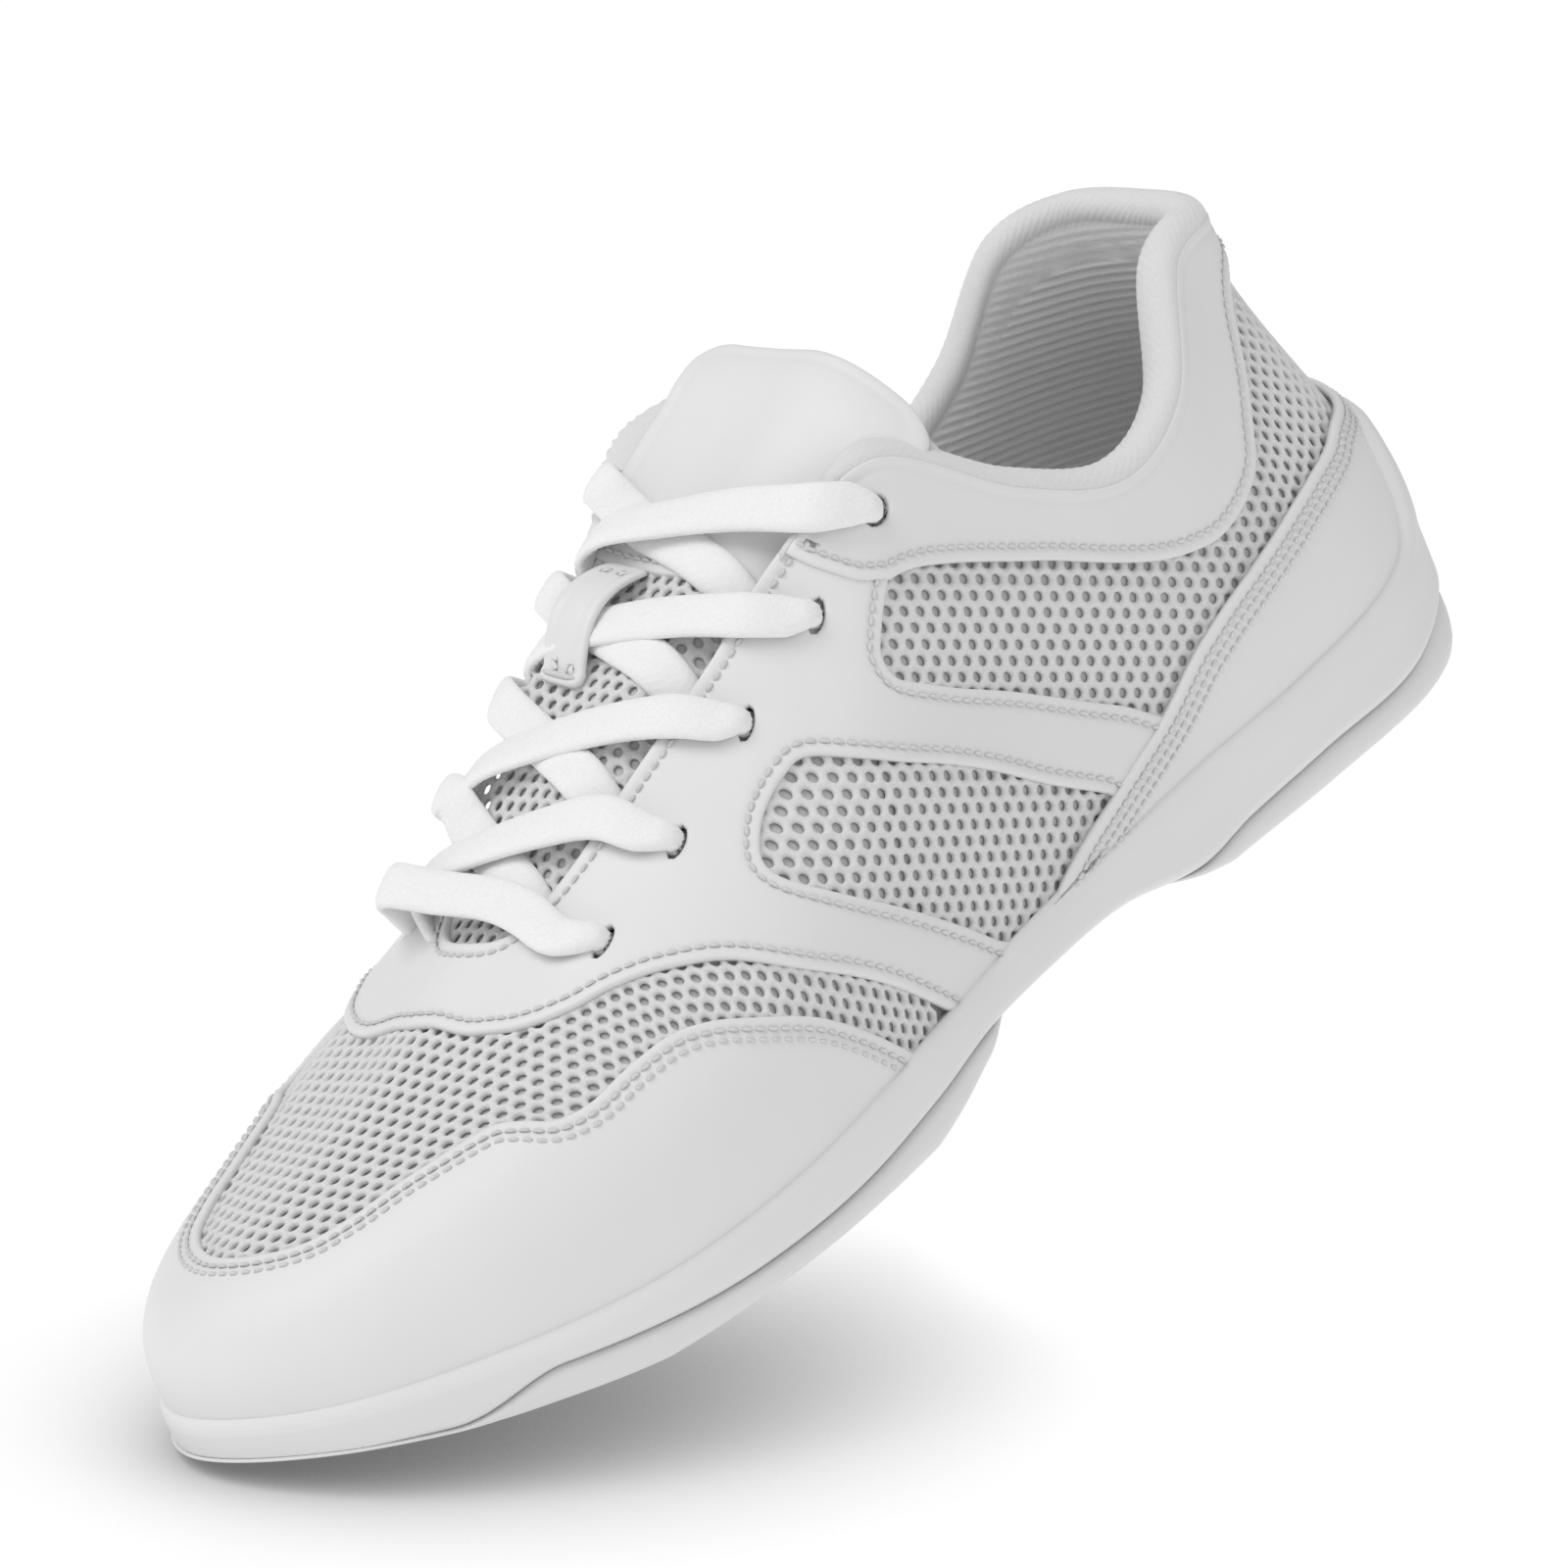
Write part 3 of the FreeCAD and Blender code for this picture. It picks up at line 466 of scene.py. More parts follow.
def leather_panel(name, outer, holes, lift=0.0):
    """A cut overlay: rolled edges, a stitch channel, a closed back."""
    loops = [even(outer, SPACING)]
    if chart_area(loops[0]) < 0:
        loops[0] = loops[0][::-1]
    for hole in holes:
        hole_loop = even(hole, 0.9 if len(hole) < SMALL_LOOP else SPACING)
        loops.append(hole_loop[::-1] if chart_area(hole_loop) > 0 else hole_loop)
    spots, heights, faces, inner_loops, inner_index, base_of = [], [], [], [], [], []
    count = 0
    for number, loop in enumerate(loops):
        small = number > 0 and len(holes[number - 1]) < SMALL_LOOP
        rings = EDGE_RINGS if small else EDGE_RINGS + CHANNEL_RINGS
        size = len(loop)
        first = count
        for distance, height in rings:
            spots.append(inset(loop, distance))
            heights.append(np.full(size, height))
            count += size
        faces += grid_faces(len(rings), size, wrap_columns=True, first=first)
        base_of.append((first, size))
        inner_loops.append(spots[-1])
        inner_index += list(range(count - size, count))
    extra, triangles = fill(inner_loops, 2.6)
    border = len(inner_index)
    for face in triangles:
        faces.append(tuple(inner_index[v] if v < border else count + v - border for v in face))
    spots.append(extra)
    heights.append(np.zeros(len(extra)))
    count += len(extra)
    spots, heights = np.vstack(spots), np.concatenate(heights)
    top = upper(spots[:, 0], spots[:, 1], heights + lift)
    # the back: the same sheet without its rings, one leather thickness in
    back_first = count
    back_loops = [spots[first:first + size] for first, size in base_of]
    extra_back, triangles = fill(back_loops, 5.0)
    back_index = [i for first, size in base_of for i in range(first, first + size)]
    border = len(back_index)
    for face in triangles:
        faces.append(tuple(back_index[v] if v < border else back_first + v - border
                           for v in face[::-1]))
    points = np.vstack([top, upper(extra_back[:, 0], extra_back[:, 1],
                                   np.full(len(extra_back), lift - LEATHER))])
    return new_piece(name, points, faces, LEATHER_LOOK)


# ------------------------------------------------------------------ stitches
STITCH_SIDES, STITCH_STEPS = 6, 7


def stitches(name, rows, material, length=1.8, pitch=2.1, radius=0.33):
    """rows: lists of (points, normals) lines; one sewn stitch after another along each."""
    bend = np.linspace(-1, 1, STITCH_STEPS)
    height = 0.30 * (1 - bend ** 2) - 0.12
    girth = radius * np.sqrt(np.maximum(1 - bend ** 4, 0.02))
    turn = full_turn(STITCH_SIDES)
    points, faces = [], []
    count = 0
    for line, normal in rows:
        run = lengths(line)
        for middle in np.arange(pitch * 0.5, run[-1], pitch):
            at = np.clip(middle + bend * length / 2, 0, run[-1])
            spine, up = resampled(at, run, line), unit(resampled(at, run, normal))
            side = unit(np.cross(up, unit(spine[-1] - spine[0])[None]))
            ring = (spine[:, None] + up[:, None] * (height[:, None, None]
                    + (girth[:, None] * np.sin(turn))[..., None])
                    + side[:, None] * (girth[:, None] * np.cos(turn))[..., None])
            points.append(ring.reshape(-1, 3))
            faces += tube_faces(STITCH_STEPS, STITCH_SIDES, count)
            count += STITCH_STEPS * STITCH_SIDES
    return new_piece(name, np.vstack(points), faces, material)


def sewn(run, distance, lift=0.0, closed=False):
    """A stitch line at a distance to the left of a (station, rise) run."""
    line = inset(even(run, 0.8, closed), distance, closed)
    if closed:
        line = np.vstack([line, line[:1]])
    point, _, _, normal = band_frame(line[:, 0], line[:, 1])
    return point + normal * lift, normal


# ------------------------------------------------------------------ open mesh
def surface_lookup():
    """A ray target over the whole upper, and how to get from its faces to station and rise."""
    per_station, steps = 6, 30
    stations = np.arange(RING * per_station) / per_station
    rises = np.linspace(-0.05, 1.02, steps)
    grid = band(stations[:, None], rises[None, :]).reshape(-1, 3)
    faces = grid_faces(len(stations), steps, wrap_rows=True)
    tree = BVHTree.FromPolygons(grid.tolist(), faces)
    middle = [(stations[f[0] // steps] + 0.5 / per_station,
               0.5 * (rises[f[0] % steps] + rises[f[0] % steps + 1])) for f in faces]
    return tree, np.array(middle)


LOOKUP, FACE_SPOTS = surface_lookup()


def cast(origins, directions):
    """Station and rise where rays from inside meet the upper; rows that miss are NaN."""
    spots = np.full((len(origins), 2), np.nan)
    points = np.zeros((len(origins), 3))
    for row, (origin, direction) in enumerate(zip(origins, directions)):
        place, _, face, _ = LOOKUP.ray_cast(Vector(origin), Vector(direction))
        if face is not None:
            spots[row] = FACE_SPOTS[face]
            points[row] = place
    good = ~np.isnan(spots[:, 0])
    for _ in range(3):
        point, across, up, _ = band_frame(spots[good, 0], spots[good, 1])
        spots[good] += solve_in_surface(across, up, points[good] - point)
    return spots


VAMP_MIDDLE = np.array([0.0, -52.0, 6.0])


def vamp_table():
    """Tilt of a ray from the middle of the forefoot, with the distance it covers on the surface."""
    tilts = np.linspace(0.0, 1.75, 120)
    rays = np.stack([0 * tilts, -np.sin(tilts), np.cos(tilts)], -1)
    spots = cast(np.repeat(VAMP_MIDDLE[None], len(tilts), axis=0), rays)
    good = ~np.isnan(spots[:, 0])
    points = band(spots[good, 0], spots[good, 1])
    run = lengths(points)
    return tilts[good], run, np.linalg.norm(points - VAMP_MIDDLE, axis=1)


VAMP_TILTS, VAMP_RUN, VAMP_RADIUS = vamp_table()


def vamp_rays(u, v):
    """Unrolls the front of the upper: u across (mm), v along, forwards from the throat."""
    tilt = np.interp(v, VAMP_RUN, VAMP_TILTS)
    theta = u / np.interp(v, VAMP_RUN, VAMP_RADIUS)
    origin = np.stack([0 * u, VAMP_MIDDLE[1] + np.maximum(-v, 0) * 0.8, 0 * u + VAMP_MIDDLE[2]], -1)
    direction = np.stack([np.sin(theta), -np.cos(theta) * np.sin(tilt),
                          np.cos(theta) * np.cos(tilt)], -1)
    return origin, direction


def quarter_rays(side):
    """Unrolls one side: u backwards along the shoe and round the heel, v up."""
    turn_at, radius = 92.0, 33.0

    def rays(u, v):
        angle = np.maximum(u - turn_at, 0) / radius
        origin = np.stack([0 * u, np.minimum(u, turn_at), v], -1)
        return origin, np.stack([side * np.cos(angle), np.sin(angle), 0 * u], -1)
    return rays


RING_TURNS = np.radians(np.arange(0, 360, 30))
# share of the way from the hole to the cell's border, and depth under the threads' crest
THREAD_RINGS = ((1.0, 0.0), (0.5, -0.10), (0.12, -0.34), (0.0, -0.72), (0.14, -1.0))


def hex_cells(first_u, last_u, first_v, last_v, angle=0.0):
    """Centres of a staggered net, turned by an angle (degrees) in its own sheet."""
    reach_u, reach_v = (last_u - first_u) * 0.75, (last_v - first_v) * 0.75
    rows = np.arange(-int(reach_v / ROW_PITCH) - 8, int(reach_v / ROW_PITCH) + 9)
    columns = np.arange(-int(reach_u / PITCH) - 8, int(reach_u / PITCH) + 9)
    middle = np.array([(first_u + last_u) / 2, (first_v + last_v) / 2])
    c, s = math.cos(math.radians(angle)), math.sin(math.radians(angle))
    centres = []
    for row in rows:
        for column in columns:
            local = np.array([(column + 0.5 * (row % 2)) * PITCH, row * ROW_PITCH])
            spot = middle + np.array([c * local[0] - s * local[1], s * local[0] + c * local[1]])
            if first_u <= spot[0] <= last_u and first_v <= spot[1] <= last_v:
                centres.append(spot)
    return np.array(centres)


def net_points(centres, angle=0.0):
    """Sheet points of every cell: rings from border to hole, with each ring's depth."""
    border = (PITCH / 2) / np.cos(np.mod(RING_TURNS + np.pi / 6, np.pi / 3) - np.pi / 6)
    squeeze = ROW_PITCH / (PITCH * math.sqrt(3) / 2)
    c, s = math.cos(math.radians(angle)), math.sin(math.radians(angle))
    rings, depths = [], []
    for share, depth in THREAD_RINGS:
        radius = HOLE + (border - HOLE) * share
        x, y = radius * np.cos(RING_TURNS), radius * np.sin(RING_TURNS) * squeeze
        rings.append(np.stack([c * x - s * y, s * x + c * y], -1))
        depths.append(np.full(len(RING_TURNS), depth))
    rings, depths = np.array(rings), np.array(depths)
    points = centres[:, None, None, :] + rings[None]
    return points.reshape(-1, 2), np.broadcast_to(depths, points.shape[:3]).reshape(-1)


def net_faces(count):
    rings, sides = len(THREAD_RINGS), len(RING_TURNS)
    one = grid_faces(rings, sides, wrap_columns=True)
    return [tuple(v + cell * rings * sides for v in face) for cell in range(count) for face in one]


def upper_net(name, rays, extent, keep, angle=0.0):
    """Real open mesh over part of the upper."""
    centres = hex_cells(*extent, angle=angle)
    spots = cast(*rays(centres[:, 0], centres[:, 1]))
    good = ~np.isnan(spots[:, 0])
    good[good] = keep(np.mod(spots[good, 0], RING), spots[good, 1])
    centres = centres[good]
    sheet, depth = net_points(centres, angle)
    spots = cast(*rays(sheet[:, 0], sheet[:, 1]))
    missed = np.isnan(spots[:, 0])
    per_cell = len(THREAD_RINGS) * len(RING_TURNS)
    whole = ~missed.reshape(-1, per_cell).any(1)
    rows = np.repeat(whole, per_cell)
    spots, depth = spots[rows], depth[rows]
    return new_piece(name, upper(spots[:, 0], spots[:, 1], NET_DEPTH + depth),
                     net_faces(int(whole.sum())), MESH_LOOK)


def from_heel(station):
    station = np.mod(station, RING)
    return np.minimum(station, RING - station)


def vamp_region(station, rise):
    near = from_heel(station)
    edge = np.where(np.mod(station, RING) < TOE, along(EYESTAY_FRONT, near),
                    along(MEDIAL_STAY_FRONT, near))
    high = np.where(near < 6.5, 0.0, edge) + 0.05
    low = along(TOE_CAP_EDGE, near) - 0.05
    return (near > 6.6) & (rise > low) & (rise < high)


def front_window_region(station, rise):
    near = np.stack([from_heel(station), rise], -1) * CHART
    loop = closed_run(FRONT_WINDOW, 4)
    wide = inset(loop, 2.6 if chart_area(loop) < 0 else -2.6)
    return inside(near, [wide * CHART])


def rear_window_region(station, rise):
    near = from_heel(station)
    low = np.minimum(along(HEEL_EDGE, near), 0.9) - 0.05
    high = along(COLLAR_EDGE, near) + 0.05
    foot = even(run_of(REAR_WINDOW_FOOT, 4), 3.0, closed=False)
    # in front of the window's foot line the base leather covers the mesh
    edge = np.interp(rise, foot[::-1, 1], foot[::-1, 0])
    return (near < edge + 0.14) & (rise > low) & (rise < high)


def backing_sheet(name, first, last, low=-0.02, high=0.93, thickness=0.6):
    """Smooth closed sheet under the mesh; its grey colour is painted shade seen through the holes."""
    stations = np.linspace(first, last, int(abs(last - first) * 6) + 1)[:, None]
    stations, rises = np.broadcast_arrays(stations, low + (high - low) * np.linspace(0, 1, 24))
    outer, inner = [upper(stations, rises, BACKING_DEPTH - depth) for depth in (0, thickness)]
    return closed_sheet(name, outer, inner, SHADE_GREY_BACKING_LOOK)


def closed_sheet(name, outer, inner, material):
    """A thin closed solid from two grids of the same shape."""
    rows, columns = outer.shape[:2]
    count = rows * columns
    faces = grid_faces(rows, columns)
    faces += [tuple(v + count for v in face[::-1]) for face in grid_faces(rows, columns)]
    rim = ([r * columns for r in range(rows)]
           + [(rows - 1) * columns + c for c in range(1, columns)]
           + [r * columns + columns - 1 for r in range(rows - 2, -1, -1)]
           + [c for c in range(columns - 2, 0, -1)])
    for a, b in zip(rim, rim[1:] + rim[:1]):
        faces.append((a, b, b + count, a + count))
    return new_piece(name, np.vstack([outer.reshape(-1, 3), inner.reshape(-1, 3)]), faces, material)


# ------------------------------------------------------------------ collar
COLLAR_END = 6.95          # station at which the collar roll runs out under the tongue
ROLL_RADIUS = 3.3


def ribs(distance, height, pitch, slope):
    """Round knitted ribs running diagonally."""
    wave = np.sin(2 * np.pi * (distance * math.cos(slope) + height * math.sin(slope)) / pitch)
    return rounded(wave, 0.8)


def collar(material):
    """The padded roll round the opening and the ribbed lining below it, as one closed sheet."""
    stations = np.linspace(-COLLAR_END, COLLAR_END, 640)
    line = band(stations, 1.0)
    run = lengths(line)
    point, _, up, normal = band_frame(stations, np.full(len(stations), 0.985))
    up = unit(up)
    fade = ease(np.clip((COLLAR_END - np.abs(stations)) / 0.9, 0, 1))
    radius = ROLL_RADIUS * (0.30 + 0.70 * fade)
    rings, arc, rib_share = [], [], []
    # over the top, from the seam outside to the inside
    for angle in np.radians(np.linspace(-28, 205, 44)):
        out = np.cos(angle) * radius
        high = np.sin(angle) * radius * 0.92
        rings.append(point + normal * (out - radius + 0.5)[:, None] + up * (high + 0.3)[:, None])
        arc.append(angle * ROLL_RADIUS)
        rib_share.append(0.6)
    # down the inside, following the upper at a depth that thins towards the foot
    last = rings[-1]
    start_rise, steps = 0.93, 190
    for k in range(1, steps + 1):
        share = k / steps
        rise = start_rise * (1 - share) + 0.06 * share
        pad = 4.15 + (2 * radius - 4.4) * (0.5 + 0.5 * np.cos(np.pi * min(share / 0.62, 1.0)))
        spot = upper(stations, np.full(len(stations), rise), -pad)
        weight = min(k / 13.0, 1.0)
        rings.append(last * (1 - weight) + spot * weight if weight < 1 else spot)
        arc.append(205 / 57.3 * ROLL_RADIUS + share * 60)
        rib_share.append(min(0.6 + k / 24.0, 1.0))
    grid = np.array(rings)
    facing = unit(np.cross(np.gradient(grid, axis=1), np.gradient(grid, axis=0)))
    if (facing[22] * up).sum() < 0:
        facing = -facing
    arc, share = np.array(arc)[:, None], np.array(rib_share)[:, None]
    fine = ribs(run[None], arc, 1.15, math.radians(48)) * 0.06
    coarse = ribs(grid[..., 1], grid[..., 2], 1.5, math.radians(77)) * 0.24
    inside_share = np.clip((share - 0.6) / 0.4, 0, 1)
    grid = grid + facing * (fine * (1 - inside_share) + coarse * inside_share)[..., None]
    return closed_sheet("collar_and_lining", grid, grid - facing * 0.9, material)


# ------------------------------------------------------------------ sole
def sole_loft(name, stations, wall, top_lift, floor, material):
    """A sole part as cross sections at the stations.

    wall(stations, foot, out) gives the rows of points down one side; out points away from the foot."""
    sides = []
    for station in (stations, -stations):
        foot = ring_values(FEATHER_RING, station)
        ahead = ring_values(FEATHER_RING, station + 0.04) - ring_values(FEATHER_RING, station - 0.04)
        out = unit(np.stack([ahead[:, 1], -ahead[:, 0]], -1))
        out = np.where(((out * foot[:, :2]).sum(-1) < 0)[:, None], -out, out)
        sides.append(wall(station, foot, out))
    lateral, medial = sides
    share = np.linspace(0, 1, 32)[1:-1]
    bottom = [lateral[-1] * (1 - k) + medial[-1] * k for k in share]
    for row, k in zip(bottom, share):
        inward = np.minimum(k, 1 - k) * np.abs(lateral[-1][:, 0] - medial[-1][:, 0])
        row[:, 2] = floor(stations, row[:, 0], row[:, 1], inward)
    top = [medial[0] * (1 - k) + lateral[0] * k for k in np.linspace(0, 1, 10)[1:-1]]
    for row in top:
        row[:, 2] += top_lift
    loop = np.concatenate([lateral, np.array(bottom), medial[::-1], np.array(top)])
    grid = np.transpose(loop, (1, 0, 2)) + SHIFT
    return new_piece(name, grid.reshape(-1, 3), tube_faces(len(stations), len(loop)), material)


def soft_step(value, first, last):
    return ease(np.clip((value - first) / (last - first), 0, 1))


def tread_height(y):
    return np.maximum(along(TREAD_PROFILE, y), 0.0)


def seam_height(y):
    """Seam between the midsole and the tread; it runs out under the toe."""
    toe_share = soft_step(-y, 96.0, 112.0)
    return along(MIDSOLE_PROFILE, y) * (1 - toe_share) + (tread_height(y) + 0.8) * toe_share


# Top edge of the cup that the midsole forms at the back of the heel: station, height.
CUP_EDGE = ((0.0, 42.0), (0.7, 41.6), (1.05, 40.3), (1.25, 37.0), (1.37, 32.0), (1.47, 27.0),
            (1.62, 23.0), (1.85, 20.9), (2.3, 19.0))
# Distance below the midsole's top edge and how far the side stands out there; then the same above
# the seam.
LIP_BULGE = ((0.0, -0.25), (0.25, 0.45), (0.7, 0.98), (1.4, 1.42), (2.4, 1.72), (4.0, 1.70),
             (8.0, 1.55))
SEAM_BULGE = ((0.0, 0.30), (0.25, 0.85), (0.8, 1.38), (1.7, 1.64), (3.0, 1.80))


def midsole_rows(stations, foot, out):
    """The midsole's side, from the edge that grips the upper down to the seam."""
    near = from_heel(stations)
    toe = soft_step(near, 9.9, 11.3)
    top = np.where(near < 2.3, np.maximum(foot[:, 2], along(CUP_EDGE, near)), foot[:, 2])
    top = top + 0.85 * (1 - toe)
    seam = seam_height(foot[:, 1])
    share = np.concatenate([np.linspace(0, 0.3, 12)[:-1], np.linspace(0.3, 0.85, 14)[:-1],
                            np.linspace(0.85, 1.0, 8)])
    height = top - (top - seam) * share[:, None]
    run = lengths(foot[:, :2])
    from_edge = np.array([np.hypot(run[None, :] - run[:, None], row[:, None] - top[None, :]).min(1)
                          for row in height])
    heel = 1 - soft_step(near, 3.0, 5.5)
    grow = np.interp(from_edge, *np.transpose(LIP_BULGE)) * (1 - 0.35 * toe + 0.5 * heel)
    pinch = np.interp(height - seam, *np.transpose(SEAM_BULGE)) * (1 + 0.4 * heel)
    grow = np.minimum(grow, pinch * (1 - toe) + 1.4 * toe)
    base = np.repeat(foot[None, :, :2], len(share), axis=0)
    for column in np.flatnonzero(near < 2.6):
        skin = band(np.full(40, stations[column]), np.linspace(0, 0.5, 40)) - SHIFT
        for axis in (0, 1):
            base[:, column, axis] = np.interp(height[:, column], skin[:, 2], skin[:, axis])
    side = np.concatenate([base + out[None] * grow[..., None], height[..., None]], -1)
    hidden = np.concatenate([base[0] - out * 3.2, (top - 1.2)[:, None]], -1)
    return np.concatenate([hidden[None], side])


# Side of the tread: how far it stands out, and share of the way from the seam down to the ground.
TREAD_SIDE = ((-1.0, 0.0), (0.2, 0.03), (0.95, 0.09), (1.35, 0.17), (1.5, 0.3), (1.5, 0.5),
              (1.35, 0.66), (1.05, 0.8), (0.5, 0.92), (-0.3, 0.98), (-1.4, 1.0))
HEEL_TREAD_END, FRONT_TREAD_END = 4.7, 5.85


def tread_presence(stations):
    """1 where the tread is full, 0 where it runs out in the arch."""
    near = from_heel(stations)
    return np.maximum(soft_step(-near, -HEEL_TREAD_END, 0.55 - HEEL_TREAD_END),
                      soft_step(near, FRONT_TREAD_END, FRONT_TREAD_END + 0.55))


def tread_rows(stations, foot, out):
    full = tread_presence(stations)
    seam = seam_height(foot[:, 1])
    ground = tread_height(foot[:, 1])
    rows = []
    for grow, share in TREAD_SIDE:
        reach = (grow + 2.2) * full - 2.2
        height = seam - (seam - ground) * share * (0.1 + 0.9 * full)
        rows.append(np.concatenate([foot[:, :2] + out * reach[:, None], height[:, None]], -1))
    return np.array(rows)


def tread_floor(stations, x, y, inward):
    """Underside with shallow wavy grooves across the tread."""
    wave = np.cos(2 * np.pi * (y + 2.4 * np.sin(x / 7.0)) / 7.5)
    groove = np.clip((wave - 0.55) / 0.25, 0, 1)
    edge = np.clip((inward - 3.0) / 2.0, 0, 1)
    full = tread_presence(stations)
    seam, ground = seam_height(y), tread_height(y)
    return seam - (seam - ground - 0.9 * groove * edge) * (0.1 + 0.9 * full)


def make_sole(rubber, foam):
    rows = np.concatenate([np.linspace(0, 1.15, 60)[:-1], np.linspace(1.15, 1.75, 60)[:-1],
                           np.linspace(1.75, 12.0, 340)])
    midsole = sole_loft("midsole_side", rows, midsole_rows, -0.4,
                        lambda stations, x, y, inward: seam_height(y) - 0.02, foam)
    attach(midsole, "midsole_foam", "flex", "midsole")
    heel = sole_loft("heel_tread", np.linspace(0.0, HEEL_TREAD_END, 340), tread_rows, 0.0,
                     tread_floor, rubber)
    attach(heel, "rubber", "rear_shoe", "heel_outsole")
    front = sole_loft("forefoot_tread", np.linspace(FRONT_TREAD_END, 12.0, 470), tread_rows, 0.0,
                      tread_floor, rubber)
    attach(front, "rubber", "flex", "forefoot_outsole")


# ------------------------------------------------------------------ tongue
def tongue_length():
    share = np.linspace(0, 1, 200)
    line = tongue_face(0.0, share)
    return share, lengths(line)


TONGUE_SHARES, TONGUE_RUN = tongue_length()
PANEL_START = 0.640
TONGUE_SPLIT = 0.706


def tongue_net(material):
    """Open mesh on the lower part of the tongue."""
    end = np.interp(PANEL_START + 0.03, TONGUE_SHARES, TONGUE_RUN)
    centres = hex_cells(-17.0, 17.0, 0.0, end)

    def side_and_share(sheet):
        share = np.interp(sheet[:, 1], TONGUE_RUN, TONGUE_SHARES)
        y = tongue_y(share)
        return sheet[:, 0] / tongue_half(sheet[:, 0], y), share

    centres = centres[np.abs(side_and_share(centres)[0]) < 0.94]
    sheet, depth = net_points(centres)
    side, share = side_and_share(sheet)
    return new_piece("tongue_open_mesh", tongue(side, share, -0.1 + depth * 0.8),
                     net_faces(len(centres)), material)


def tongue_body(name, first, last, material):
    """The padded tongue as a closed, soft-edged form between two shares of its length."""
    rows = int(abs(last - first) * 104 / 0.7)
    shares = np.linspace(first, last, rows)
    turn = full_turn(72)
    side, high = rounded(np.cos(turn), 0.55), rounded(np.sin(turn), 0.75)
    top, bottom = -1.15, -6.9
    depth = (top + bottom) / 2 + high * (top - bottom) / 2
    distance = np.interp(shares, TONGUE_SHARES, TONGUE_RUN)
    rib = ribs(distance[:, None] + 0 * side[None], side[None] * 15 + depth[None], 1.9,
               math.radians(25))
    mask = np.clip((0.5 - high) / 0.5, 0, 1)[None]
    width = 1.0 + 0.03 * rib * mask * (np.abs(side) > 0.8)
    grid = tongue(side[None] * width, shares[:, None] + 0 * side[None],
                  depth[None] - 0.2 * rib * mask)
    return new_piece(name, grid.reshape(-1, 3), tube_faces(rows, len(turn)), material)


def rounded_plate(name, place, width, length, material, radius, thickness=1.3):
    """A leather plate with round corners: place(side -1..1, share 0..1, height)."""
    # rings run in from the cut edge: distance in millimetres and height
    rings = ((0.0, -thickness), (0.0, -0.5), (0.15, -0.15), (0.5, 0.0), (1.1, 0.0), (1.6, -0.02),
             (2.1, -0.16), (2.6, -0.02), (3.4, 0.03))
    outline = []
    for cx, cy, turn in ((1, 1, 0), (-1, 1, 90), (-1, -1, 180), (1, -1, 270)):
        for angle in np.radians(np.linspace(turn, turn + 90, 7)):
            outline.append(((width / 2 - radius) * cx + radius * math.cos(angle),
                            (length / 2 - radius) * cy + radius * math.sin(angle)))
    outline = np.array(outline)
    closed = np.vstack([outline, outline[:1]])
    run = lengths(closed)
    at = np.arange(0, run[-1], 0.9)
    outline = resampled(at, run, closed)
    ahead = np.roll(outline, -1, 0) - np.roll(outline, 1, 0)
    left = unit(np.stack([-ahead[:, 1], ahead[:, 0]], -1))
    spots, heights = [], []
    for distance, height in rings:
        spots.append(outline + left * distance)
        heights.append(np.full(len(outline), height))
    faces = grid_faces(len(rings), len(outline), wrap_columns=True)
    inner = spots[-1]
    extra, triangles = fill([inner / CHART], 2.0)
    extra = extra * CHART
    count, last = len(rings) * len(outline), (len(rings) - 1) * len(outline)
    for face in triangles:
        faces.append(tuple(last + v if v < len(inner) else count + v - len(inner) for v in face))
    spots = np.vstack(spots + [extra])
    heights = np.concatenate(heights + [np.zeros(len(extra))])
    base, triangles = fill([outline / CHART], 3.0)
    base = base * CHART
    back = len(spots)
    for face in triangles:
        faces.append(tuple(v if v < len(outline) else back + v - len(outline)
                           for v in face[::-1]))
    spots = np.vstack([spots, base])
    heights = np.concatenate([heights, np.full(len(base), -thickness)])
    points = place(spots[:, 0] / (width / 2), spots[:, 1] / length + 0.5, heights)
    return new_piece(name, points, faces, material)


def make_tongue(leather, mesh, backing, lining, thread):
    attach(tongue_net(mesh), "mesh", "flex", "tongue_mesh")
    # the lower padding takes the grey backing colour, painted shade seen through the tongue's mesh holes
    attach(tongue_body("tongue_padding_lower", 0.005, TONGUE_SPLIT, backing), "lining_textile",
           "flex", "tongue_foam")
    attach(tongue_body("tongue_padding_upper", TONGUE_SPLIT - 0.002, 0.985, lining),
           "lining_textile", "fold", "tongue_lining")
    first = np.interp(PANEL_START, TONGUE_SHARES, TONGUE_RUN)
    last = TONGUE_RUN[-1]

    def on_panel(side, share, height):
        at = np.interp(first + (last - first) * share, TONGUE_RUN, TONGUE_SHARES)
        # the top edge slants, and the padding shows beside the panel on the medial side
        reach = np.where(side > 0, 1.03, np.minimum(22.3 / along(MEDIAL_HALF, tongue_y(at)), 1.03))
        return tongue(side * reach, at, height + 0.35)

    panel = rounded_plate("tongue_panel", on_panel, 40.0, last - first, leather, radius=5.0)
    attach(panel, "leather", "fold", "tongue_face")
    side = np.linspace(-0.86, 0.9, 60)
    rows = []
    for height in (0.045, 0.085):
        line = on_panel(side, np.full(60, height), 0.02)
        rows.append((line, unit(on_panel(side, np.full(60, height), 1.0) - line)))
    attach(stitches("tongue_panel_stitches", rows, thread), "thread", "fold")


KEEPER_START, KEEPER_END, KEEPER_HALF, KEEPER_LIFT = 0.452, 0.640, 4.4, 4.0
KEEPER_X = -9.8              # the loop sits towards the medial side, where the tongue is pulled


